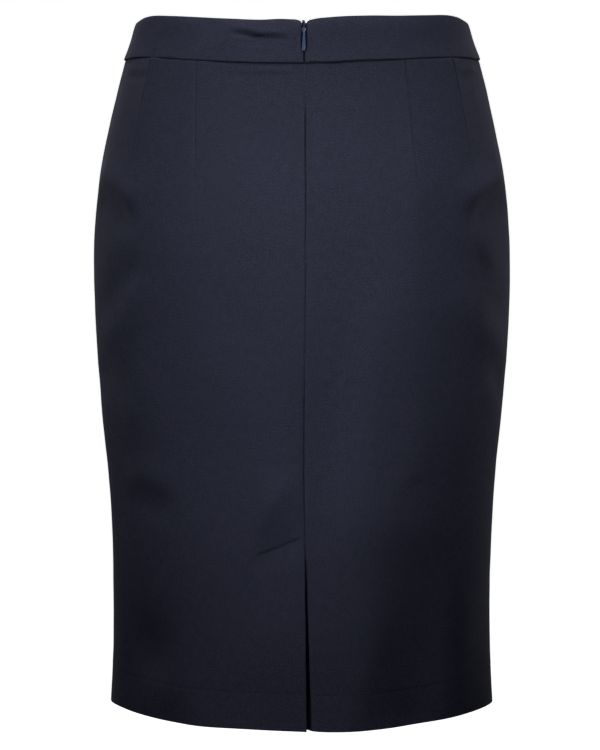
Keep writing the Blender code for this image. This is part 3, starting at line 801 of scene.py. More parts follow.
def apply_modifiers(piece):
    """Apply all of a piece's modifiers."""
    only(piece)
    for modifier in list(piece.modifiers):
        bpy.ops.object.modifier_apply(modifier=modifier.name)


def graded(length, fine, coarse, both=True):
    """Places from 0 to length, close together at the start, and at the end too if both."""
    steps = []
    step = fine
    while step < coarse and sum(steps) + step < length * (0.45 if both else 0.9):
        steps.append(step)
        step *= GROWTH
    used = sum(steps) * (2 if both else 1)
    middle = max(int(round((length - used) / coarse)), 1)
    widths = steps + [(length - used) / middle] * middle + (steps[::-1] if both else [])
    return np.concatenate([[0.0], np.cumsum(widths)])


print("a graded 10 mm, in mm:", np.round(1000 * graded(0.010, 0.0004, 0.0030), 1).tolist())

# %% [markdown]
# ## From points to cloth
# A sheet of cloth is a grid of places on the skirt with a few of them left out. The grid's faces
# make an open surface, and Solidify gives it the thickness of real suiting, about half a
# millimetre. Each point also gets a texture coordinate in metres along the cloth, so that the
# weave keeps its size and follows every fold.

# %% Cloth sheets
CLOTH = 0.00055            # one layer of suiting
AIR = 0.00010              # between two layers


def skin(turn, drop, out):
    """Places at a distance out from the smooth skirt."""
    return ring(turn, drop) + ring_normal(turn, drop) * out[..., None]


def along_rows(points):
    """Distances along each row of a grid, from its first column."""
    steps = np.linalg.norm(np.diff(points, axis=1), axis=2)
    return np.concatenate([np.zeros((len(points), 1)), np.cumsum(steps, axis=1)], axis=1)


def cloth_sheet(name, points, kept, wall, origin_column=0):
    """A walled sheet through a grid of outer points; kept says which points are there."""
    number = np.full(kept.shape, -1)
    number[kept] = np.arange(kept.sum())
    corners = (number[:-1, :-1], number[:-1, 1:], number[1:, 1:], number[1:, :-1])
    corners = np.stack(corners, axis=-1)
    faces = corners[(corners >= 0).all(axis=-1)]
    across = along_rows(points)
    across = across - across[:, origin_column:origin_column + 1]
    down = along_rows(points.transpose(1, 0, 2)).T
    places = np.stack([across, down], axis=-1)[kept]
    mesh = bpy.data.meshes.new(name)
    mesh.from_pydata(points[kept].tolist(), [], faces.tolist())
    layer = mesh.uv_layers.new(name="weave")
    layer.data.foreach_set("uv", places[faces.ravel()].astype(np.float32).ravel())
    piece = bpy.data.objects.new(name, mesh)
    scene.collection.objects.link(piece)
    solidify = piece.modifiers.new("wall", "SOLIDIFY")
    solidify.thickness = wall
    solidify.offset = -1.0
    solidify.use_even_offset = True
    apply_modifiers(piece)
    piece.data.shade_smooth()
    piece.data.set_sharp_from_angle(angle=radians(50))
    half_area = sum(face.area for face in piece.data.polygons) / 2
    print(name, "faces:", len(piece.data.polygons), "half area m2:", round(half_area, 4))
    return piece


print("one layer of suiting:", 1000 * CLOTH, "mm")

# %% [markdown]
# ## Rows of a panel
# The rows run from inside the band, over the seam and down the face to the hem. They stand close
# where the cloth bends or a groove runs, and about 3 mm apart elsewhere. They meet the waist seam
# and the hem, and on the left panel they slant with the vent's stitches, so that the crease runs
# along one row of the grid.

# %% Rows of a panel
FINE = 0.00040
COARSE = 0.0030
FRONT_COARSE = 0.0042
HEM_FOLD = CLOTH + AIR                 # radius of the hem's fold
SEAM_DROP = 0.0356                     # middle height of the waist seam behind
SEAM_FOLLOWED = 0.16                   # rows follow the seam's line down to this drop
HEM_FOLLOWED = (0.46, 0.57)            # and the hem's line more and more between these
SLANT_ABOVE = 0.08                     # they slant from this far above the vent's top
SLANT_END = 0.53                       # to this drop
SLANT_ACROSS = 0.110                   # and to this far across
HIDDEN_ROWS = (-0.0080, -0.0050, -0.0025, -0.0010)     # under the band, from the seam


def face_rows():
    """Drops of the rows down a panel's face, for a level seam and hem."""
    marks = (SEAM_DROP, VENT_TOP, LENGTH - HEM_TURN, LENGTH - HEM_FOLD)
    drops = [SEAM_DROP + hidden for hidden in HIDDEN_ROWS]
    for high, low in zip(marks[:-1], marks[1:]):
        drops.extend(high + graded(low - high, FINE, COARSE)[:-1])
    return np.array(drops + [marks[-1]])


def place_rows(drops, turns, left_back=False):
    """Rows that meet the waist seam and the hem at each column, slanted at the vent's top."""
    seam = line_round(WAIST_SEAM, turns) - SEAM_DROP
    hem = line_round(HEM, turns) - LENGTH
    moved = drops + seam * (1 - smooth_step(drops, SEAM_DROP, SEAM_FOLLOWED))
    moved = moved + hem * smooth_step(drops, *HEM_FOLLOWED)
    if left_back:
        across = np.clip(across_at(turns, drops), 0.0, None)
        slant = stitch_drop(np.minimum(across, VENT_STITCH_END)) - VENT_TOP
        slant = slant * (1 - smooth_step(across, VENT_STITCH_END, SLANT_ACROSS))
        near = smooth_step(drops, VENT_TOP - SLANT_ABOVE, VENT_TOP)
        near = near * (1 - smooth_step(drops, VENT_TOP, SLANT_END))
        moved = moved + slant * near
    return moved


PANEL_DROPS = face_rows()
print("rows down a panel:", len(PANEL_DROPS))

# %% [markdown]
# ## Columns of a panel
# The columns follow the darts' lines. At each seam they roll over and turn back as a pressed-open
# seam allowance. The two folds of a side seam press into each other a little, because sewn cloth
# lets no light through.

# %% Columns of a panel
FLANK_RADIUS = 0.115                   # metres round the side seams for each radian of turn
SEAM_FOLD = CLOTH + AIR / 2            # radius of a pressed seam's fold
SEAM_PRESS = 0.00003                   # the side seams' folds press this far past the seam
ALLOWANCE = 0.012
ALLOWANCE_COLUMNS = 6
BEND = (180, 150, 120, 90, 60, 30)     # degrees round a fold, from the inside to the face
PRESSED = degrees(SEAM_PRESS / FLANK_RADIUS)
FOLD_TURN = degrees(SEAM_FOLD / FLANK_RADIUS)
LEFT_SEAM = 90 + TURNED
RIGHT_SEAM = -90 + TURNED


def guide(turn):
    """A guide line at one turn."""
    return lambda drops: turn + 0.0 * drops


def dart_guide(name):
    """A guide line down a dart."""
    dart = next(dict(zip(DART_COLUMNS, row)) for row in DARTS if row[0] == name)
    return lambda drops: dart_turn(dart, drops)


def between(guides, drops, coarse=COARSE):
    """Columns between guide lines: one array of turns for each column."""
    columns = []
    for left, right in zip(guides[:-1], guides[1:]):
        width = abs(np.mean(right(drops) - left(drops))) * PER_DEGREE
        places = graded(width, FINE, coarse)
        shares = places / places[-1]
        first, last = left(drops), right(drops)
        columns.extend(first + (last - first) * share for share in shares[:-1])
    return columns + [guides[-1](drops)]


def seam_edge(edge, into, radius, width, per_radian):
    """Columns of a folded edge, from the raw edge inside, round the fold, to just before the face.

    Gives turn, depth and the cosine of the way round for each column."""
    columns = []
    for share in np.linspace(1.0, 0.0, ALLOWANCE_COLUMNS + 1)[:-1]:
        across = radius + (width - radius) * share
        columns.append((edge + into * np.degrees(across / per_radian), 2 * radius, -1.0))
    for way in BEND:
        across = radius * (1 - sin(radians(way)))
        depth = radius * (1 - cos(radians(way)))
        columns.append((edge + into * np.degrees(across / per_radian), depth, cos(radians(way))))
    return columns


def side_edge(seam, into):
    """Columns of a side seam's folded edge."""
    return seam_edge(seam + 0.0 * PANEL_DROPS, into, SEAM_FOLD, ALLOWANCE, FLANK_RADIUS)


print("columns in a folded edge:", len(side_edge(LEFT_SEAM, -1)))

# %% [markdown]
# ## A panel's grid
# Below the face the rows go on round the hem's fold and up again inside, over the side seams'
# allowances. Only the columns of the face are turned up: the folded edges end at the hem.

# %% Grid of a panel
HEM_BEND = (30, 60, 90, 120, 150, 180)     # degrees round the hem's fold, from the face
TURN_STEP = 0.001                          # first step up the turned hem
OVER_SEAM = 0.004                          # the turned hem climbs an allowance over this width


def near_seam(turn):
    """1 over the side seams' allowances, where the turned hem lies over them, else 0."""
    left = np.abs(wrapped(turn - LEFT_SEAM)) * radians(1) * FLANK_RADIUS
    right = np.abs(wrapped(turn - RIGHT_SEAM)) * radians(1) * FLANK_RADIUS
    return 1 - smooth_step(np.minimum(left, right), ALLOWANCE, ALLOWANCE + OVER_SEAM)


def panel_grid(start, face, end, drops, side):
    """Points and kept flags of a panel, from its folded start edge to its folded end edge."""
    columns = start + [(turn, 0.0 * drops, 1.0) for turn in face] + end[::-1]
    turn = np.stack([c[0] + 0.0 * drops for c in columns], axis=1)
    depth = np.stack([c[1] + 0.0 * drops for c in columns], axis=1)
    way = np.array([c[2] for c in columns])[None, :]
    on_face = way > 0.99
    rows = place_rows(drops[:, None], turn, left_back=side > 0)
    relief = panel_relief(turn, rows, side)
    blocks = [(turn, rows, relief - depth, np.ones(turn.shape, bool))]
    turn = turn[-1:]
    bottom = rows[-1:] + HEM_FOLD
    for angle in HEM_BEND:
        drop = bottom - HEM_FOLD * (1 - sin(radians(angle)))
        inward = HEM_FOLD * (1 - cos(radians(angle))) * way
        shown = on_face if angle > 90 else np.ones(turn.shape, bool)
        blocks.append((turn, drop, relief[-1:] - depth[-1:] - inward, shown))
    for up in graded(HEM_TURN - HEM_FOLD, TURN_STEP, COARSE, both=False)[1:]:
        drop = bottom - HEM_FOLD - up
        under = 2 * HEM_FOLD + (CLOTH + AIR) * near_seam(turn)
        blocks.append((turn, drop, panel_relief(turn, drop, side) - under, on_face))
    turn, drop, out, kept = (np.concatenate(part, axis=0) for part in zip(*blocks))
    return skin(turn, drop, out), kept


print("rows round the hem's fold:", len(HEM_BEND))

# %% [markdown]
# ## The two back panels
# The left panel's edge folds back under itself all the way down: narrow beside the zip and the
# seam, and wide below as the vent's facing. The right panel does the same as far as the vent,
# and from there it carries straight on under the left one.

# %% Back panels
VENT_FOLD = 1.5 * CLOTH + AIR          # the hem's turned layer lies inside this fold
FACING_WIDTH = 0.040
UNDERLAP_WIDTH = 0.045
CLIP_ABOVE = 0.0002                    # the right panel's allowance is clipped above the vent


def back_left():
    """The wearer's left back panel."""
    drops = PANEL_DROPS
    opened = smooth_step(drops, VENT_TOP - 0.010, VENT_TOP + 0.006)
    radius = SEAM_FOLD + (VENT_FOLD - SEAM_FOLD) * opened
    wider = smooth_step(drops, VENT_TOP, VENT_TOP + 0.012)
    width = ALLOWANCE + (FACING_WIDTH - ALLOWANCE) * wider
    edge = turn_at(flap_edge(drops), drops)
    start = seam_edge(edge, 1, radius, width, per_radian_behind(drops))
    seam = LEFT_SEAM + PRESSED
    first = edge + np.degrees(radius / per_radian_behind(drops))
    face = between([lambda drops: first, dart_guide("left_inner"), dart_guide("left_outer"),
                    guide(seam - FOLD_TURN)], drops)
    points, kept = panel_grid(start, face, side_edge(seam, -1), drops, 1)
    return cloth_sheet("back_left_cloth", points, kept, CLOTH, len(start))


def back_right():
    """The wearer's right back panel, clipped into its allowance at the vent's top."""
    drops = PANEL_DROPS
    above = drops < VENT_TOP - CLIP_ABOVE
    seam = RIGHT_SEAM - PRESSED
    start = side_edge(seam, 1)
    edge = centre(drops, "across") - centre(drops, "half_gap")
    folded = seam_edge(turn_at(edge, drops), -1, SEAM_FOLD, ALLOWANCE, per_radian_behind(drops))
    beyond = np.linspace(UNDERLAP_WIDTH, 0.0, len(folded) + 1)[:-1]
    end = []
    for (turn, depth, _), across in zip(folded, beyond):
        straight = turn_at(across, drops)
        end.append((np.where(above, turn, straight), np.where(above, depth, 0.0), 1.0))
    last = turn_at(edge - SEAM_FOLD, drops)
    face = between([guide(seam + FOLD_TURN), dart_guide("right_outer"),
                    dart_guide("right_inner"), lambda drops: last], drops)
    points, kept = panel_grid(start, face, end, drops, -1)
    inner = len(start) + len(face)
    kept[int(np.argmin(above)) - 1, inner:] = False
    return cloth_sheet("back_right_cloth", points, kept, CLOTH, inner - 1)


back_left_cloth = back_left()
back_right_cloth = back_right()

# %% [markdown]
# ## The front panel
# One piece from side seam to side seam, with two plain darts. It is made by the same rules as
# the back, because the same cloth hangs from the same band.

# %% Front panel
def front():
    """The front panel."""
    left = LEFT_SEAM - PRESSED
    right = RIGHT_SEAM + 360 + PRESSED
    start = side_edge(left, 1)
    face = between([guide(left + FOLD_TURN), dart_guide("front_left"),
                    dart_guide("front_right"), guide(right - FOLD_TURN)],
                   PANEL_DROPS, FRONT_COARSE)
    points, kept = panel_grid(start, face, side_edge(right, -1), PANEL_DROPS, 0)
    return cloth_sheet("front_cloth", points, kept, CLOTH, len(start) + len(face) // 2)


front_cloth = front()

# %% [markdown]
# ## The waistband
# The band is a strip of the same cloth, folded lengthways. Its top edge is a soft fold over the
# interfacing inside, its lower edge is turned up and sewn over the panels, and its inner half
# ends just below the seam. It has three parts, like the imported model: a front, and two backs
# that end at the zip. Their ends stand a little open there, as a slit that a table draws, one
# distance for each side of it. Its face is hollow in the middle and swells over the lower seam.

# %% Ends and relief of the waistband
SLIT_COLUMNS = ("drop", "left", "right")
SLIT = (
    (0.000, 0.0024, -0.0012), (0.004, 0.0022, -0.0013), (0.010, 0.0024, -0.0018),
    (0.016, 0.0031, -0.0021), (0.0215, 0.0030, -0.0020), (0.0250, 0.0019, -0.0016),
    (0.0280, 0.0015, -0.0004), (0.037, 0.0010, -0.0002),
)
BAND_SWELLS = ((0.50, 0.24, -0.00035), (0.95, 0.13, 0.00045))     # share down, width, height
EDGE_ROLLS = ((0.0034, 0.0022), (0.012, 0.0005))                  # reach, depth


def slit(side, drops):
    """Distance of the band's end from the centre back line, at some drops."""
    edge = column(SLIT, SLIT_COLUMNS, side)
    return curve_through(column(SLIT, SLIT_COLUMNS, "drop"), edge, drops)


def band_relief(turn, drop):
    """The band's buckles, its hollow middle, the lip of its lower seam and its rolled edge."""
    top = line_round(WAIST_EDGE, turn)
    bottom = line_round(WAIST_SEAM, turn)
    share = (drop - top) / (bottom - top)
    sideways = np.abs(np.sin(np.radians(turn)))
    swells = sum(height * np.exp(-(((share - place) / width) ** 2))
                 for place, width, height in BAND_SWELLS)
    swells = swells * (0.6 + 0.6 * smooth_step(sideways, 0.6, 1.0))
    seam = puckers(wrapped(turn) * PER_DEGREE, drop - bottom, 0.004, 0.00006)
    below = np.clip(drop - top, 0.0, None)
    roll = -sum(deep * np.exp(-below / reach) for reach, deep in EDGE_ROLLS)
    roll = roll * (1 - 0.7 * smooth_step(sideways, 0.6, 0.95))
    buckles = fold_height(BAND_FOLDS, turn, drop) + crease_height(BAND_CREASES, turn, drop)
    return buckles + unevenness(turn, drop) + swells + seam + roll


print("slit at its widest:", round(1000 * max(row[1] - row[2] for row in SLIT), 1), "mm")

# %% [markdown]
# ## Rows and columns of the band
# The strip's rows run up its inner half, over the top fold, down the face, round the lower fold
# and up the allowance. Its columns turn in at each end, as the panels' do at a seam. Both halves
# are there only along the face's columns, and the turned-in ends only along the face's rows.

# %% Rows and columns of the band
BAND_OUT = 0.0008          # the band's face stands this far out from the skirt's
TOP_FOLD = 0.00125
LOWER_FOLD = 0.00060
BAND_ALLOWANCE = (0.002, 0.004, 0.006, 0.0085)     # rows of the turned-up lower edge
INNER_BELOW = 0.0030       # the band's inner half ends this far below the seam
INNER_ROWS = 14
BAND_MIDDLE = 0.018        # a drop half way down the band
BAND_FINE = 0.0006
BAND_STEPS = (0.0018, 0.0025)          # down and round
END_SHARES = (1.0, 0.7, 0.4, 0.15)     # columns of a turned-in end


def band_rows(top, bottom):
    """Rows of the folded strip from its inner edge: drop, depth under the face, and its part."""
    low = bottom - LOWER_FOLD
    rows = []
    for share in np.linspace(0.0, 1.0, INNER_ROWS + 1)[:-1]:
        drop = bottom + INNER_BELOW + (top + TOP_FOLD - bottom - INNER_BELOW) * share
        rows.append((drop, 2 * TOP_FOLD, "inside"))
    for way in BEND:
        over = TOP_FOLD * (1 - sin(radians(way)))
        rows.append((top + over, TOP_FOLD * (1 - cos(radians(way))), "top"))
    places = graded(0.034, BAND_FINE, BAND_STEPS[0])
    for share in places / places[-1]:
        rows.append((top + TOP_FOLD + (low - top - TOP_FOLD) * share, 0.0, "face"))
    for way in BEND[::-1]:
        under = LOWER_FOLD * sin(radians(way))
        rows.append((low + under, LOWER_FOLD * (1 - cos(radians(way))), "lower"))
    for up in BAND_ALLOWANCE:
        rows.append((low - up, 2 * LOWER_FOLD, "allowance"))
    return rows


def band_end(edge, into, per_radian):
    """Columns of a turned-in end; edge is a turn at any drop, into 1 where turns grow inwards."""
    columns = []
    for share in END_SHARES:
        columns.append((SEAM_FOLD + (ALLOWANCE - SEAM_FOLD) * share, 2 * SEAM_FOLD))
    for way in BEND:
        columns.append((SEAM_FOLD * (1 - sin(radians(way))), SEAM_FOLD * (1 - cos(radians(way)))))

    def column_at(across):
        return lambda drop: edge(drop) + into * np.degrees(across / per_radian(drop))

    return [(column_at(across), depth, True) for across, depth in columns]


def band_face(first, last, first_radian, last_radian):
    """Columns of a band's face between its two ends."""
    def left(drop):
        return first(drop) + np.degrees(SEAM_FOLD / first_radian(drop))

    def right(drop):
        return last(drop) - np.degrees(SEAM_FOLD / last_radian(drop))

    width = float(abs(right(BAND_MIDDLE) - left(BAND_MIDDLE))) * PER_DEGREE
    places = graded(width, BAND_FINE, BAND_STEPS[1])
    return [(lambda drop, s=share: left(drop) + (right(drop) - left(drop)) * s, 0.0, False)
            for share in places / places[-1]]


print("rows of the band's strip:", len(band_rows(0.0, SEAM_DROP)))

# %% [markdown]
# ## The three bands
# Each band piece runs from one end to the other. The front one lies between the side seams, and
# the two behind end at the slit, whose two edges are read from the table of the band's ends.

# %% The three bands
HALF_AIR = degrees(AIR / 2 / FLANK_RADIUS)


def flank(drop):
    """Metres round the side for each radian of turn."""
    return FLANK_RADIUS + 0.0 * np.asarray(drop)


def band_piece(name, columns):
    """A folded strip; each column gives its turn at any drop, its depth and its part."""
    turns_of, column_depths, folded = zip(*columns)
    middle = np.array([float(turn_of(BAND_MIDDLE)) for turn_of in turns_of])
    rows = band_rows(line_round(WAIST_EDGE, middle), line_round(WAIST_SEAM, middle))
    drops, row_depths, parts = zip(*rows)
    drop = np.array(drops)
    turn = np.stack([turn_of(drop[:, i]) + 0 * drop[:, i] for i, turn_of in enumerate(turns_of)],
                    axis=1)
    depth = np.array(row_depths)[:, None] + np.array(column_depths)[None, :]
    kept = ~np.array(folded)[None, :] | (np.array(parts)[:, None] == "face")
    out = BAND_OUT + band_relief(turn, drop) - depth
    return cloth_sheet(name, skin(turn, drop, out), kept, CLOTH)


def band_between(name, first, last, first_radian, last_radian):
    """A whole band from one end to the other."""
    columns = band_end(first, 1, first_radian) + band_face(first, last, first_radian, last_radian)
    return band_piece(name, columns + band_end(last, -1, last_radian)[::-1])


def slit_edge(side):
    """A guide line down one edge of the slit."""
    return lambda drop: turn_at(slit(side, drop), drop)


band_back_left_cloth = band_between("band_back_left_cloth", slit_edge("left"),
                                    guide(LEFT_SEAM - HALF_AIR), per_radian_behind, flank)
band_back_right_cloth = band_between("band_back_right_cloth", guide(RIGHT_SEAM + HALF_AIR),
                                     slit_edge("right"), flank, per_radian_behind)
band_front_cloth = band_between("band_front_cloth", guide(LEFT_SEAM + HALF_AIR),
                                guide(RIGHT_SEAM + 360 - HALF_AIR), flank, flank)

# %% [markdown]
# ## Tools for the finishes
# A finish is a small tree of nodes that ends in one shader. These helpers add what every finish
# here needs: a sum, a noise, a wave, a mix of two colours and a bump. Each pattern is read from
# the cloth's weave coordinates or from the object's own, so that it is fixed to its piece.

# %% Tools for the finishes
MIX_FIRST, MIX_SECOND, MIX_RESULT = 6, 7, 2     # a Mix node's sockets for colours


def new_material(name, roughness):
    """A node material and its shader."""
    material = bpy.data.materials.new(name)
    material.use_nodes = True
    shader = material.node_tree.nodes["Principled BSDF"]
    shader.inputs["Roughness"].default_value = roughness
    return material, shader


def calculate(tree, operation, *values):
    """A Math node on numbers or on other nodes' outputs."""
    node = tree.nodes.new("ShaderNodeMath")
    node.operation = operation
    for socket, value in zip(node.inputs, values):
        if isinstance(value, (int, float)):
            socket.default_value = value
        else:
            tree.links.new(value, socket)
    return node.outputs["Value"]


def weave_place(tree):
    """The two weave coordinates in metres, and both together."""
    uv = tree.nodes.new("ShaderNodeUVMap")
    uv.uv_map = "weave"
    parts = tree.nodes.new("ShaderNodeSeparateXYZ")
    tree.links.new(uv.outputs["UV"], parts.inputs["Vector"])
    return parts.outputs["X"], parts.outputs["Y"], uv.outputs["UV"]


def stretched_noise(tree, place, scale, detail=2.0):
    """Noise on a place, with its own scale along each coordinate."""
    mapping = tree.nodes.new("ShaderNodeMapping")
    mapping.inputs["Scale"].default_value = scale
    tree.links.new(place, mapping.inputs["Vector"])
    noise = tree.nodes.new("ShaderNodeTexNoise")
    noise.inputs["Scale"].default_value = 1.0
    noise.inputs["Detail"].default_value = detail
    tree.links.new(mapping.outputs["Vector"], noise.inputs["Vector"])
    return noise.outputs["Fac"]


def wave(tree, place, pitch):
    """A sine wave with one crest for each pitch."""
    return calculate(tree, "SINE", calculate(tree, "MULTIPLY", place, 2 * pi / pitch))


def two_colours(tree, share, dark, light, shader):
    """Mix two colours by a share into the shader's colour."""
    mix = tree.nodes.new("ShaderNodeMix")
    mix.data_type = "RGBA"
    mix.inputs[MIX_FIRST].default_value = (*dark, 1.0)
    mix.inputs[MIX_SECOND].default_value = (*light, 1.0)
    tree.links.new(share, mix.inputs["Factor"])
    tree.links.new(mix.outputs[MIX_RESULT], shader.inputs["Base Color"])


def bump(tree, height, distance, shader, strength=1.0):
    """Bump the shader by a height between 0 and 1."""
    node = tree.nodes.new("ShaderNodeBump")
    node.inputs["Strength"].default_value = strength
    node.inputs["Distance"].default_value = distance
    tree.links.new(height, node.inputs["Height"])
    tree.links.new(node.outputs["Normal"], shader.inputs["Normal"])


print("a Mix node's colour sockets:", MIX_FIRST, MIX_SECOND, "and its result:", MIX_RESULT)

# %% [markdown]
# ## Suiting
# Fine wool suiting is a steep twill of yarns half a millimetre apart, dyed in the fibre, so that
# dark and lighter fibres mix. The fibres, the twill, faint slubs along the yarn and soft clouds
# all shift the colour between a dark and a lighter navy, and fibres and twill also make a very
# small bump. A high roughness and a little sheen make the nap. The waistband is cut on the cross
# grain, and its copy of the suiting is painted lighter, as painted light on the band.

# %% Suiting
SUITING_DARK = (0.0060, 0.0068, 0.0140)
SUITING_LIGHT = (0.0345, 0.0378, 0.0700)
TWILL_PITCH = 0.00050
TWILL_RISE = 0.6           # rise of the twill's diagonal for each metre across
FIBRE_SCALE = (1500.0, 1100.0, 1.0)    # for each metre across and down
SLUB_SCALE = (800.0, 110.0, 1.0)
CLOUD_SCALE = (150.0, 150.0, 1.0)
FIBRE_CONTRAST, FIBRE_START = 3.9, -1.45
TWILL_SHARE, SLUB_SHARE, CLOUD_SHARE = 0.10, 0.45, 0.36
YARN_SHARE = 0.35                      # of the twill, in its ribs
BUMP_FIBRES, BUMP_RIBS, BUMP_TALL = 0.8, 0.25, 0.00006
SUITING_ROUGH = 0.88
# The waistband's copy of the suiting is painted this much lighter, as painted light on the band.
BAND_PAINTED_LIGHT = 1.11


def suiting(name, lighter=1.0):
    """Navy twill suiting; lighter scales both colours up, as painted light on the waistband."""
    material, shader = new_material(name, SUITING_ROUGH)
    tree = material.node_tree
    across, down, place = weave_place(tree)
    diagonal = calculate(tree, "ADD", across, calculate(tree, "MULTIPLY", down, TWILL_RISE))
    twill = wave(tree, diagonal, TWILL_PITCH)
    yarn = wave(tree, down, TWILL_PITCH * 0.7)
    ribs = calculate(tree, "MULTIPLY_ADD", yarn, YARN_SHARE, twill)
    fibres = stretched_noise(tree, place, FIBRE_SCALE, 3.0)
    slubs = calculate(tree, "SUBTRACT", stretched_noise(tree, place, SLUB_SCALE, 1.0), 0.5)
    clouds = calculate(tree, "SUBTRACT", stretched_noise(tree, place, CLOUD_SCALE, 3.0), 0.5)
    share = calculate(tree, "MULTIPLY_ADD", fibres, FIBRE_CONTRAST, FIBRE_START)
    for pattern, weight in ((twill, TWILL_SHARE), (slubs, SLUB_SHARE), (clouds, CLOUD_SHARE)):
        share = calculate(tree, "MULTIPLY_ADD", pattern, weight, share)
    dark, light = (tuple(lighter * part for part in colour)
                   for colour in (SUITING_DARK, SUITING_LIGHT))
    two_colours(tree, share, dark, light, shader)
    ribs = calculate(tree, "MULTIPLY", ribs, BUMP_RIBS)
    bump(tree, calculate(tree, "MULTIPLY_ADD", fibres, BUMP_FIBRES, ribs), BUMP_TALL, shader, 0.8)
    shader.inputs["Specular IOR Level"].default_value = 0.25
    shader.inputs["Sheen Weight"].default_value = 0.05
    shader.inputs["Sheen Roughness"].default_value = 0.30
    shader.inputs["Sheen Tint"].default_value = (0.75, 0.80, 1.0, 1.0)
    return material


SUITING = suiting("navy suiting")
# The band's lighter copy of the suiting is painted light.
BAND_SUITING_PAINTED_LIGHT = suiting("navy suiting, painted lighter for the band", BAND_PAINTED_LIGHT)
print("suiting nodes:", len(SUITING.node_tree.nodes))

# %% [markdown]
# ## Tools for the hard pieces
# The zip's small parts are modelled as by hand: a primitive is put in place, and its faces are
# picked in code and then extruded, inset or scaled in edit mode. They are shaped round the pull's
# hinge, with X along the hinge and Z up the band, and moved to their place when they are done.

# %% Tools for the hard pieces
HINGE = Vector(frame["record"]["behaviour"]["joints"][0]["pos_m"])
BESIDE = Vector((0.0007, 0.0, 0.0))    # the slider sits a little to the left in the slit
BAND_LEAN = radians(8.61)              # the band leans out going down
TO_HINGE = Matrix.Translation(HINGE + BESIDE) @ Matrix.Rotation(BAND_LEAN, 4, "X")


def added(name, adder, **settings):
    """A new primitive with its place applied."""
    bpy.ops.object.select_all(action="DESELECT")
    adder(**settings)
    piece = bpy.context.object
    piece.name = name
    piece.data.name = name
    bpy.ops.object.transform_apply(location=True, rotation=True, scale=True)
    return piece


def start_edit(piece):
    """Edit a piece by its faces, with nothing picked."""
    only(piece)
    bpy.ops.object.mode_set(mode="EDIT")
    bpy.context.tool_settings.mesh_select_mode = (False, False, True)
    bpy.ops.mesh.select_all(action="DESELECT")


def extrude(by):
    """Extrude what is picked."""
    bpy.ops.mesh.extrude_region_move(TRANSFORM_OT_translate={"value": by})


def resize(by, about):
    """Scale what is picked about a place."""
    bpy.ops.transform.resize(value=by, center_override=about)


def pick(piece, test):
    """Pick faces by their middle and normal, and return the middle of them all."""
    mesh = bmesh.from_edit_mesh(piece.data)
    middles = []
    for face in mesh.faces:
        face.select_set(bool(test(face.calc_center_median(), face.normal)))
        if face.select:
            middles.append(face.calc_center_median())
    mesh.select_flush_mode()
    bmesh.update_edit_mesh(piece.data)
    return sum(middles, Vector()) / max(len(middles), 1)


def pick_points(piece, test):
    """Pick points by their place."""
    bpy.context.tool_settings.mesh_select_mode = (True, False, False)
    mesh = bmesh.from_edit_mesh(piece.data)
    for point in mesh.verts:
        point.select_set(bool(test(point.co)))
    mesh.select_flush_mode()
    bmesh.update_edit_mesh(piece.data)


def end_edit():
    """Leave edit mode with all normals outwards."""
    bpy.ops.mesh.select_all(action="SELECT")
    bpy.ops.mesh.normals_make_consistent(inside=False)
    bpy.ops.object.mode_set(mode="OBJECT")


def rounded(piece, width, segments=2, levels=0, angle=40):
    """Bevel a piece's edges, and subdivide it if levels is set."""
    bevel = piece.modifiers.new("edges", "BEVEL")
    bevel.width = width
    bevel.segments = segments
    bevel.limit_method = "ANGLE"
    bevel.angle_limit = radians(angle)
    if levels:
        smooth = piece.modifiers.new("smooth", "SUBSURF")
        smooth.levels = levels
        smooth.render_levels = levels
    apply_modifiers(piece)
    only(piece)
    bpy.ops.object.shade_smooth_by_angle(angle=radians(35))


def joined(name, pieces):
    """Join pieces into one, which rests where the first one does."""
    bpy.ops.object.select_all(action="DESELECT")
    for piece in pieces:
        piece.select_set(True)
    bpy.context.view_layer.objects.active = pieces[0]
    bpy.ops.object.join()
    pieces[0].name = name
    pieces[0].data.name = name
    return pieces[0]


print("hinge at, in mm:", [round(1000 * part, 2) for part in HINGE])

# %% [markdown]
# ## The pull
# The pull is a small stamped teardrop. Its top is an eye that hangs on the slider's bridge, and
# its face is dished inside a raised rim, which catches the light along both edges. The blade
# grows out of a small block by extruding its lower face again and again to the tabled half
# widths, and the dish is two insets on each side: one for the rim and one that sinks.

# %% The pull
PULL_BLADE = (             # distance below the hinge and half width
    (0.0040, 0.00060), (0.0056, 0.00070), (0.0076, 0.00086), (0.0100, 0.00108),
    (0.0124, 0.00128), (0.0146, 0.00140), (0.0164, 0.00138), (0.0178, 0.00108), (0.0187, 0.00060),
)
PULL_TOP = 0.0028
PULL_NECK_HALF = 0.00072
PULL_THICK = 0.00085
NECK_START = 0.0004        # height of the block that the blade grows from
RIM_WIDTH = 0.00030
DISH_SLOPE, DISH_DEEP = 0.00022, 0.00028
EYE_DISTANCE = 0.00142     # middle of the eye below the hinge
EYE_RADIUS, EYE_WIRE = 0.00112, 0.00042


def pull_blade():
    """The blade, from the neck under the eye to the tip."""
    blade = added("pull_blade", bpy.ops.mesh.primitive_cube_add, size=1.0,
                  location=(0.0, 0.0, -PULL_TOP - NECK_START / 2),
                  scale=(2 * PULL_NECK_HALF, PULL_THICK, NECK_START))
    start_edit(blade)
    half, place = PULL_NECK_HALF, -PULL_TOP - NECK_START
    for distance, wanted in PULL_BLADE:
        pick(blade, lambda middle, normal: normal.z < -0.9)
        extrude((0, 0, -distance - place))
        resize((wanted / half, 1, 1), (0, 0, -distance))
        half, place = wanted, -distance
    pick(blade, lambda middle, normal: abs(normal.y) > 0.9 and middle.z < -0.0040)
    bpy.ops.mesh.inset(thickness=RIM_WIDTH, depth=0.0)
    bpy.ops.mesh.inset(thickness=DISH_SLOPE, depth=-DISH_DEEP)
    end_edit()
    rounded(blade, 0.00008, segments=1, levels=2)
    return blade


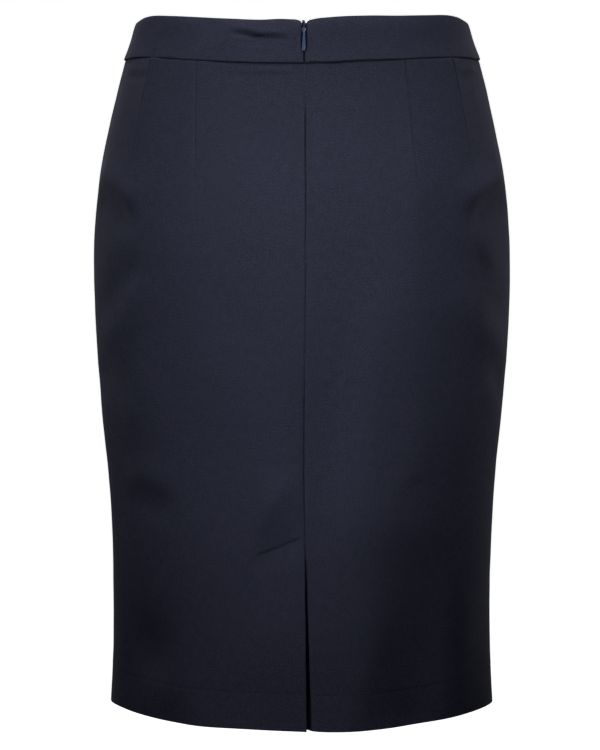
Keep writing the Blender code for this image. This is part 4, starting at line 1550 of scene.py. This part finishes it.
def pull_eye():
    """The eye: a flattened ring stretched down to the neck."""
    eye = added("pull_eye", bpy.ops.mesh.primitive_torus_add, major_segments=32, minor_segments=12,
                major_radius=EYE_RADIUS, minor_radius=EYE_WIRE, rotation=(pi / 2, 0, 0),
                location=(0.0, 0.0, -EYE_DISTANCE))
    start_edit(eye)
    bpy.ops.mesh.select_all(action="SELECT")
    resize((1, 1, 1.18), (0, 0, -EYE_DISTANCE))
    pick_points(eye, lambda place: place.z < -EYE_DISTANCE - 0.0009)
    resize((0.80, 1, 1), (0, 0, -EYE_DISTANCE))
    end_edit()
    only(eye)
    bpy.ops.object.shade_smooth()
    return eye


zip_pull_tab = joined("zip_pull_tab", [pull_blade(), pull_eye()])
zip_pull_tab.data.transform(TO_HINGE)
print("pull faces:", len(zip_pull_tab.data.polygons))

# %% [markdown]
# ## The slider
# An invisible zip's slider rides behind the tapes. Only its nose and the bridge come out through
# the slit. The bridge is a round wire, spun half way round the hinge from one small disc and then
# extruded back into the slit at both ends. The body is a block with sunk cheeks and a waist, the
# neck a thin block through the slit, and the nose a ball drawn down to the bridge.

# %% The slider
BRIDGE_RADIUS = 0.0016
WIRE_RADIUS = 0.0004
BRIDGE_BACK = 0.0024       # the bridge's ends reach this far back into the slit
BODY_OUT = -0.0049         # outer face of the body behind the hinge
BODY_WIDE, BODY_DEEP, BODY_TALL = 0.0052, 0.0024, 0.0090
BODY_MIDDLE = -0.0010
NOSE_MIDDLE = (0, -0.0006, 0.0049)


def bridge():
    """The wire bridge that the pull hangs on."""
    wire = added("bridge", bpy.ops.mesh.primitive_circle_add, vertices=12, radius=WIRE_RADIUS,
                 fill_type="NGON", rotation=(pi / 2, 0, 0), location=(0, 0, -BRIDGE_RADIUS))
    start_edit(wire)
    bpy.ops.mesh.select_all(action="SELECT")
    extrude((0, 0.00002, 0))
    pick(wire, lambda middle, normal: middle.y > 0.000015 and abs(normal.y) > 0.5)
    bpy.ops.mesh.spin(steps=14, angle=pi, center=(0, 0, 0), axis=(1, 0, 0))
    end_edit()
    start_edit(wire)
    pick(wire, lambda middle, normal: middle.y < 0.0001 and normal.y < -0.9)
    extrude((0, -BRIDGE_BACK, 0))
    end_edit()
    only(wire)
    bpy.ops.object.shade_smooth_by_angle(angle=radians(50))
    return wire


def slider_body():
    """The body behind the tapes, with a waist and sunk cheeks."""
    body = added("slider_body", bpy.ops.mesh.primitive_cube_add, size=1.0,
                 location=(0, BODY_OUT - BODY_DEEP / 2, BODY_MIDDLE),
                 scale=(BODY_WIDE, BODY_DEEP, BODY_TALL))
    start_edit(body)
    for level in (-0.0040, -0.0020, 0.0012):
        bpy.ops.mesh.select_all(action="SELECT")
        bpy.ops.mesh.bisect(plane_co=(0, 0, level), plane_no=(0, 0, 1))
    pick_points(body, lambda place: abs(place.z + 0.0020) < 0.0001)
    resize((0.86, 1, 1), (0, 0, 0))
    pick_points(body, lambda place: place.z < -0.0050)
    resize((0.80, 1, 1), (0, 0, 0))
    bpy.context.tool_settings.mesh_select_mode = (False, False, True)
    pick(body, lambda middle, normal: normal.y < -0.9)
    bpy.ops.mesh.inset(thickness=0.0006, depth=0.0)
    bpy.ops.mesh.inset(thickness=0.0001, depth=-0.0003)     # the sunk back
    pick(body, lambda middle, normal: abs(normal.x) > 0.7)
    bpy.ops.mesh.inset(thickness=0.0005, depth=-0.0004)     # the cheeks
    end_edit()
    rounded(body, 0.00018)
    return body


def slider_neck():
    """The thin neck through the slit, wider where it meets the body."""
    neck = added("slider_neck", bpy.ops.mesh.primitive_cube_add, size=1.0,
                 location=(0, -0.0033, 0.0015), scale=(0.0012, 0.0044, 0.0070))
    start_edit(neck)
    bpy.ops.mesh.select_all(action="SELECT")
    bpy.ops.mesh.bisect(plane_co=(0, -0.0042, 0), plane_no=(0, 1, 0))
    pick_points(neck, lambda place: place.y < -0.0050)
    resize((2.4, 1, 1.15), (0, -0.0055, 0.0012))
    end_edit()
    rounded(neck, 0.00014)
    return neck


def slider_nose():
    """The rounded nose at the slider's top, drawn down to the bridge."""
    nose = added("slider_nose", bpy.ops.mesh.primitive_uv_sphere_add, segments=20, ring_count=12,
                 radius=1.0, scale=(0.00128, 0.00125, 0.0021), location=(0.0003, -0.0006, 0.0049))
    start_edit(nose)
    pick_points(nose, lambda place: place.z < 0.0040)
    resize((0.72, 0.85, 1), NOSE_MIDDLE)
    pick_points(nose, lambda place: place.z < 0.0031)
    resize((0.62, 0.8, 1), NOSE_MIDDLE)
    bpy.ops.transform.translate(value=(0, 0, -0.0004))
    pick_points(nose, lambda place: place.z > 0.0063)
    resize((1.12, 1.1, 0.8), (0, -0.0006, 0.0063))
    end_edit()
    only(nose)
    bpy.ops.object.shade_smooth()
    return nose


slider_parts = [slider_body(), slider_neck(), bridge(), slider_nose()]
zip_slider_metal = joined("zip_slider_metal", slider_parts)
zip_slider_metal.data.transform(TO_HINGE)
print("slider faces:", len(zip_slider_metal.data.polygons))

# %% [markdown]
# ## Tapes
# Two woven tapes lie behind the slit, sewn to the turned-in edges. They could be bent strips, but
# they have to follow the cloth in front closely without touching it. So they are made as the cloth
# is, from a grid of places that reads the same tables of folds.

# %% Tapes
TAPE_WIDTH = 0.0120
TAPE_WALL = 0.00045
TAPE_TOP = 0.0025
TAPE_END = 0.2080
TAPE_INNER = 0.0003        # the tapes' inner edges lie this far from the centre line
TAPE_GRID = (96, 9)
TAPE_DEEP = 0.00180        # behind the band
TAPE_CLOSER = 0.00045      # and this much closer to the surface below it


def tape_out(drop):
    """The tapes lie behind the band's inner half, and closer to the surface below it."""
    return -TAPE_DEEP + TAPE_CLOSER * smooth_step(drop, 0.0400, 0.0480)


def behind(across, drop, deep=0.0):
    """Places behind the cloth near the centre back, at a depth behind the tapes' outer face."""
    turn = turn_at(across, drop)
    relief = fold_height(FOLDS, turn, drop) + unevenness(turn, drop)
    relief = relief + fold_height(BAND_FOLDS, turn, drop) * (1 - smooth_step(drop, 0.030, 0.040))
    return skin(turn, drop, tape_out(drop) + relief - deep)


def tape(name, side):
    """One tape; side is 1 on the left."""
    rows, columns = TAPE_GRID
    widths = side * np.linspace(TAPE_INNER, TAPE_WIDTH, columns)[::side]
    drop, across = np.meshgrid(np.linspace(TAPE_TOP, TAPE_END, rows), widths, indexing="ij")
    return cloth_sheet(name, behind(across, drop), np.ones(drop.shape, bool), TAPE_WALL)


tape_left = tape("tape_left", 1)
tape_right = tape("tape_right", -1)

# %% [markdown]
# ## What repeats
# Coil loops and stitches come in hundreds, so one is modelled and copied into one mesh. Each copy
# is placed by a frame: a 4 x 4 table of numbers that says where it goes and which way it faces.

# %% What repeats
DEEPER = 0.0020            # a depth behind all that lies on the tapes, to tell the way out


def repeated(name, pattern, frames):
    """One mesh with a copy of the pattern at each 4 x 4 frame; the pattern is removed."""
    points = np.array([tuple(vertex.co) + (1.0,) for vertex in pattern.data.vertices])
    faces = [tuple(face.vertices) for face in pattern.data.polygons]
    frames = np.array(frames)
    placed = np.einsum("nij,kj->nki", frames, points)[..., :3].reshape(-1, 3)
    all_faces = [tuple(i * len(points) + corner for corner in face)
                 for i in range(len(frames)) for face in faces]
    mesh = bpy.data.meshes.new(name)
    mesh.from_pydata(placed.tolist(), [], all_faces)
    piece = bpy.data.objects.new(name, mesh)
    scene.collection.objects.link(piece)
    bpy.data.objects.remove(pattern, do_unlink=True)
    only(piece)
    bpy.ops.object.shade_smooth_by_angle(angle=radians(50))
    print(name, "copies:", len(frames), "faces:", len(mesh.polygons))
    return piece


def frame_at(place, along, outwards, stretch=1.0):
    """A 4 x 4 frame with X along a direction and Y outwards; stretch scales X."""
    along = along / np.linalg.norm(along)
    outwards = outwards - along * np.dot(along, outwards)
    outwards = outwards / np.linalg.norm(outwards)
    made = np.eye(4)
    made[:3, 0] = along * stretch
    made[:3, 1] = outwards
    made[:3, 2] = np.cross(along, outwards)
    made[:3, 3] = place
    return made


def behind_frame(across, first, last, drop, deep):
    """A frame behind the cloth at a place across, with X from a first to a last place."""
    place, start, end = (behind(np.array(side), np.array(drop), deep)
                         for side in (across, first, last))
    return frame_at(place, end - start, place - behind(np.array(across), np.array(drop), DEEPER))


print("one frame:", behind_frame(0.0, 0.0, 0.001, 0.1, 0.001).shape)

# %% [markdown]
# ## Coil and stops
# Each tape carries a nylon coil, whose loops lock between each other down the middle. The loops
# are all alike, so one is shaped once, a bevelled bar with a blunt end, and copied down both
# sides in turn. A small metal stop is clamped over the coil at the bottom, and one on each tape at
# the top, so that the slider can't run off.

# %% Coil and stops
COIL_PITCH = 0.00072
COIL_TOP = 0.0135
COIL_END = 0.1975
COIL_DEEP = 0.0011
COIL_ACROSS = (0.00075, 0.00175)       # the middle of a loop, and a place further out
LOOP_SIZE = (0.0021, 0.0011, 0.00056)
STOP_DEEP = 0.0010


def coil():
    """The coil's loops, left and right in turn."""
    loop = added("loop", bpy.ops.mesh.primitive_cube_add, size=1.0, scale=LOOP_SIZE)
    start_edit(loop)
    pick(loop, lambda middle, normal: normal.x > 0.9)
    extrude((0.0004, 0, 0))
    resize((1, 0.6, 0.8), (0.00145, 0, 0))
    end_edit()
    rounded(loop, 0.00013, segments=1)
    frames = []
    for i, drop in enumerate(np.arange(COIL_TOP, COIL_END, COIL_PITCH)):
        near, far = (place if i % 2 else -place for place in COIL_ACROSS)
        frames.append(behind_frame(near, far, near, drop, COIL_DEEP))
    return repeated("zip_coil", loop, frames)


def stop(name, across, drop, size):
    """A small stop, with a sunk panel in its back."""
    block = added(name, bpy.ops.mesh.primitive_cube_add, size=1.0, scale=size)
    start_edit(block)
    pick(block, lambda middle, normal: normal.y < -0.9)
    bpy.ops.mesh.inset(thickness=size[2] * 0.22, depth=0.0)
    bpy.ops.mesh.inset(thickness=size[2] * 0.05, depth=-size[1] * 0.12)
    end_edit()
    rounded(block, size[2] * 0.12)
    matrix = behind_frame(across, across, across + 0.002, drop, STOP_DEEP)
    block.data.transform(Matrix(matrix.tolist()))
    return block


zip_coil = coil()
zip_stops = joined("zip_stops", [
    stop("stop_low", 0.0, 0.1990, (0.0042, 0.0019, 0.0022)),
    stop("stop_left", 0.0030, 0.0052, (0.0020, 0.0015, 0.0016)),
    stop("stop_right", -0.0026, 0.0058, (0.0020, 0.0015, 0.0016)),
])
print("stop faces:", len(zip_stops.data.polygons))

# %% [markdown]
# ## Stitches
# Sewing thread is thin and nearly the cloth's colour, so a stitch reads as a small dent with a
# thread in it. One stitch is modelled once, as a six-sided thread that dips at its ends, and it
# is repeated along the vent's slanting row, down the tapes, and inside along the turned hem.

# %% Stitches
THREAD = 0.00013
VENT_STITCH = (0.0024, 0.0005)         # length of a stitch, and the gap to the next one
TAPE_STITCH = (0.0022, 0.0004)
HEM_SPANS = ((1, 16.5, 88.0), (-1, -88.0, -2.5), (0, 90.5, 267.5))     # side, first, last turn
HEM_STITCH_TURNS = 1.45
HEM_STITCH = (-0.0012, 0.0016)         # its two ends, above and below the turned edge


def one_stitch(name):
    """A stitch one unit long, thin, with its ends bent down into the cloth."""
    stitch = added(name, bpy.ops.mesh.primitive_cylinder_add, vertices=6, radius=THREAD, depth=0.7,
                   rotation=(0, pi / 2, 0))
    start_edit(stitch)
    for way in (1, -1):
        pick(stitch, lambda middle, normal: normal.x * way > 0.9)
        extrude((way * 0.15, -1.6 * THREAD, 0))
        resize((1, 0.75, 0.75), (way * 0.5, -1.6 * THREAD, 0))
    end_edit()
    return stitch


def stitch_row(name, path, normals, length, gap):
    """Stitches along a path of close points."""
    reach = np.concatenate([[0.0], np.cumsum(np.linalg.norm(np.diff(path, axis=0), axis=1))])
    frames = []
    for start in np.arange(gap, reach[-1] - length, length + gap):
        ends = [np.array([np.interp(start + step, reach, path[:, k]) for k in range(3)])
                for step in (0.0, length)]
        out = np.array([np.interp(start + length / 2, reach, normals[:, k]) for k in range(3)])
        frames.append(frame_at((ends[0] + ends[1]) / 2, ends[1] - ends[0], out, length))
    return repeated(name, one_stitch(name + "_pattern"), frames)


def vent_stitches():
    """The slanting row that holds the vent's facing."""
    across = np.linspace(0.0015, VENT_STITCH_END - 0.0005, 60)
    drop = stitch_drop(across)
    turn = turn_at(across, drop)
    path = skin(turn, drop, panel_relief(turn, drop, 1) + 0.00003)
    return stitch_row("vent_stitches", path, ring_normal(turn, drop), *VENT_STITCH)


def tape_stitches():
    """The rows that sew the tapes on, seen from inside."""
    rows = []
    for i, across in enumerate((0.0075, -0.0075)):
        drop = np.linspace(0.010, 0.200, 160)
        place = behind(across + 0 * drop, drop, TAPE_WALL)
        inwards = -ring_normal(turn_at(across, drop), drop)
        rows.append(stitch_row("tape_stitches_%d" % i, place, inwards, *TAPE_STITCH))
    return joined("tape_stitches", rows)


def hem_stitches():
    """Catch stitches inside, along the hem's turned edge."""
    frames = []
    pattern = one_stitch("hem_pattern")
    for side, first, last in HEM_SPANS:
        turns = np.arange(first, last, HEM_STITCH_TURNS)
        for i in range(len(turns) - 1):
            turn = turns[i:i + 2]
            edge = line_round(HEM, turn) - HEM_TURN
            drop = edge + np.array(HEM_STITCH[::-1] if i % 2 else HEM_STITCH)
            deep = np.where(drop > edge, 2 * HEM_FOLD + (CLOTH + AIR) * near_seam(turn), CLOTH)
            ends = skin(turn, drop, panel_relief(turn, drop, side) - deep - 0.00005)
            length = float(np.linalg.norm(ends[1] - ends[0]))
            frames.append(frame_at(ends.mean(axis=0), ends[1] - ends[0],
                                   -ring_normal(turn[:1], drop[:1])[0], length))
    return repeated("hem_stitches", pattern, frames)


vent_thread = vent_stitches()
tape_thread = tape_stitches()
hem_thread = hem_stitches()

# %% [markdown]
# ## Tape, nylon, thread and lacquer
# The tape is a close herringbone, so its ribs change direction from stripe to stripe. The coil is
# smooth nylon with a soft shine. The thread has a fine twist. The slider and pull are pressed
# zinc under blue lacquer: a hard gloss coat over a metallic blue that is a little uneven. Its
# colour is painted lighter on convex rims, a painted highlight, and darker in hollows, painted
# shade, and the slider takes a darker copy of it, painted shade.

# %% Tape, nylon, thread and lacquer
def tape_weave():
    """Herringbone tape."""
    material, shader = new_material("herringbone tape", 0.90)
    tree = material.node_tree
    across, down, place = weave_place(tree)
    stripe = calculate(tree, "PINGPONG", across, 0.0015)
    ribs = wave(tree, calculate(tree, "ADD", stripe, down), 0.00060)
    fibres = stretched_noise(tree, place, (1800.0, 1800.0, 1.0), 2.0)
    share = calculate(tree, "MULTIPLY_ADD", ribs, 0.25, fibres)
    two_colours(tree, share, (0.0052, 0.0062, 0.0120), (0.0145, 0.0165, 0.0290), shader)
    bump(tree, share, 0.00008, shader, 0.8)
    shader.inputs["Specular IOR Level"].default_value = 0.25
    return material


def object_noise(tree, scale, detail=2.0):
    """Noise on the object's own coordinates."""
    place = tree.nodes.new("ShaderNodeTexCoord")
    return stretched_noise(tree, place.outputs["Object"], (scale, scale, scale), detail)


def nylon():
    """The coil's dark nylon."""
    material, shader = new_material("dark nylon", 0.38)
    tree = material.node_tree
    cloudy = object_noise(tree, 400.0)
    two_colours(tree, cloudy, (0.010, 0.012, 0.022), (0.020, 0.023, 0.042), shader)
    bump(tree, object_noise(tree, 5000.0), 0.00002, shader, 0.5)
    return material


def sewing_thread():
    """Twisted polyester thread, a shade bluer than the cloth."""
    material, shader = new_material("navy thread", 0.60)
    tree = material.node_tree
    strands = object_noise(tree, 6000.0, 3.0)
    two_colours(tree, strands, (0.008, 0.009, 0.018), (0.026, 0.030, 0.056), shader)
    bump(tree, strands, 0.00003, shader, 0.8)
    shader.inputs["Sheen Weight"].default_value = 0.05
    return material


def lacquer(name, dark, light):
    """Lacquer over metal, painted lighter on convex rims, a painted highlight, and darker in
    hollows, painted shade.
    """
    material, shader = new_material(name, 0.30)
    tree = material.node_tree
    cloudy = object_noise(tree, 900.0, 3.0)
    shape = tree.nodes.new("ShaderNodeNewGeometry")
    # Pointiness paints the colour lighter on convex rims, a painted highlight, and darker in
    # hollows, painted shade.
    painted_highlight_and_shade = calculate(tree, "SUBTRACT", shape.outputs["Pointiness"], 0.47)
    share = calculate(tree, "MULTIPLY_ADD", cloudy, 0.35, calculate(tree, "MULTIPLY", painted_highlight_and_shade, 6.0))
    share = calculate(tree, "MINIMUM", calculate(tree, "MAXIMUM", share, 0.0), 1.0)
    two_colours(tree, share, dark, light, shader)
    rough = calculate(tree, "MULTIPLY_ADD", cloudy, 0.16, 0.22)
    tree.links.new(rough, shader.inputs["Roughness"])
    bump(tree, object_noise(tree, 2600.0, 3.0), 0.00001, shader, 0.4)
    shader.inputs["Metallic"].default_value = 0.55
    shader.inputs["Coat Weight"].default_value = 0.5
    shader.inputs["Coat Roughness"].default_value = 0.15
    return material


FINISHES = {
    # The band's finish is the suiting painted lighter, as painted light.
    "suiting": SUITING, "cross_grain": BAND_SUITING_PAINTED_LIGHT,
    "tape": tape_weave(), "nylon": nylon(), "thread": sewing_thread(),
    "lacquer": lacquer("blue lacquer", (0.016, 0.032, 0.095), (0.220, 0.350, 0.660)),
    # The slider's lacquer is a darker copy of the pull's: painted shade.
    "dark_lacquer": lacquer("blue lacquer, painted shade", (0.008, 0.014, 0.035), (0.060, 0.095, 0.200)),
}
print("finishes:", ", ".join(FINISHES))

# %% [markdown]
# ## Tie every piece to the model
# Each piece says which body it rides on, which solids it stands for, and which finish it takes;
# its row also lists one of the record's slots, which nothing here reads. Only the pull rides on its
# own body. It swings on the bridge, and all the rest moves as one. The size that each sheet of
# cloth was cut to is listed in the table below.

# %% Tie every piece to the model
TIE_COLUMNS = ("piece", "body", "nodes", "slot", "finish")
TIES = (
    (back_left_cloth, "skirt", ("back_panel_left",), "suiting", "suiting"),
    (back_right_cloth, "skirt", ("back_panel_right",), "suiting", "suiting"),
    (front_cloth, "skirt", ("front_panel",), "suiting", "suiting"),
    # The bands take the suiting painted lighter, as painted light.
    (band_back_left_cloth, "skirt", ("waistband_back_left",), "suiting", "cross_grain"),
    (band_back_right_cloth, "skirt", ("waistband_back_right",), "suiting", "cross_grain"),
    (band_front_cloth, "skirt", ("waistband_front",), "suiting", "cross_grain"),
    (tape_left, "skirt", ("zip_tape_left",), "zip_tape", "tape"),
    (tape_right, "skirt", ("zip_tape_right",), "zip_tape", "tape"),
    (zip_coil, "skirt", (), "zip_tape", "nylon"),
    (zip_stops, "skirt", (), "zip_metal", "lacquer"),
    # The slider takes the darker lacquer, painted shade.
    (zip_slider_metal, "skirt", ("zip_slider",), "zip_metal", "dark_lacquer"),
    (zip_pull_tab, "pull", ("zip_pull",), "zip_metal", "lacquer"),
    (vent_thread, "skirt", (), "suiting", "thread"),
    (tape_thread, "skirt", (), "suiting", "thread"),
    (hem_thread, "skirt", (), "suiting", "thread"),
)
for row in TIES:
    tie = dict(zip(TIE_COLUMNS, row))
    piece = tie["piece"]
    if not piece.data.materials:
        piece.data.materials.append(FINISHES[tie["finish"]])
    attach(piece, tie["body"])
    if tie["nodes"]:
        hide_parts(*tie["nodes"])
triangles = sum(len(face.vertices) - 2 for row in TIES for face in row[0].data.polygons)
print("pieces:", len(TIES), "triangles:", triangles)

# %% [markdown]
# ## The cut of each sheet
# A sheet's flat size is the cloth that a cutter would lay out for it, with its seam allowances,
# facing, underlap and turned hem. The panels are shaped, so their flat area is smaller than
# their width times their length.

# %% The cut of each sheet
CUT_COLUMNS = ("piece", "width", "length", "area", "held", "rests_on")
CUTS = (
    (back_left_cloth, 0.285, 0.612, 0.1543, "hung", ("band_back_left_cloth",)),
    (back_right_cloth, 0.285, 0.612, 0.1563, "hung", ("band_back_right_cloth",)),
    (front_cloth, 0.475, 0.600, 0.2714, "hung", ("band_front_cloth",)),
    (band_back_left_cloth, 0.192, 0.090, 0.0169, "folded", ("back_left_cloth",)),
    (band_back_right_cloth, 0.192, 0.090, 0.0169, "folded", ("back_right_cloth",)),
    (band_front_cloth, 0.370, 0.090, 0.0325, "folded", ("front_cloth",)),
    (tape_left, 0.0120, 0.2060, None, "stretched", ("back_left_cloth",)),
    (tape_right, 0.0120, 0.2060, None, "stretched", ("back_right_cloth",)),
)
for row in CUTS:
    cut = dict(zip(CUT_COLUMNS, row))
    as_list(cut["rests_on"])
print("sheets:", len(CUTS), "suiting in m2:", round(sum(row[3] for row in CUTS if row[3]), 3))
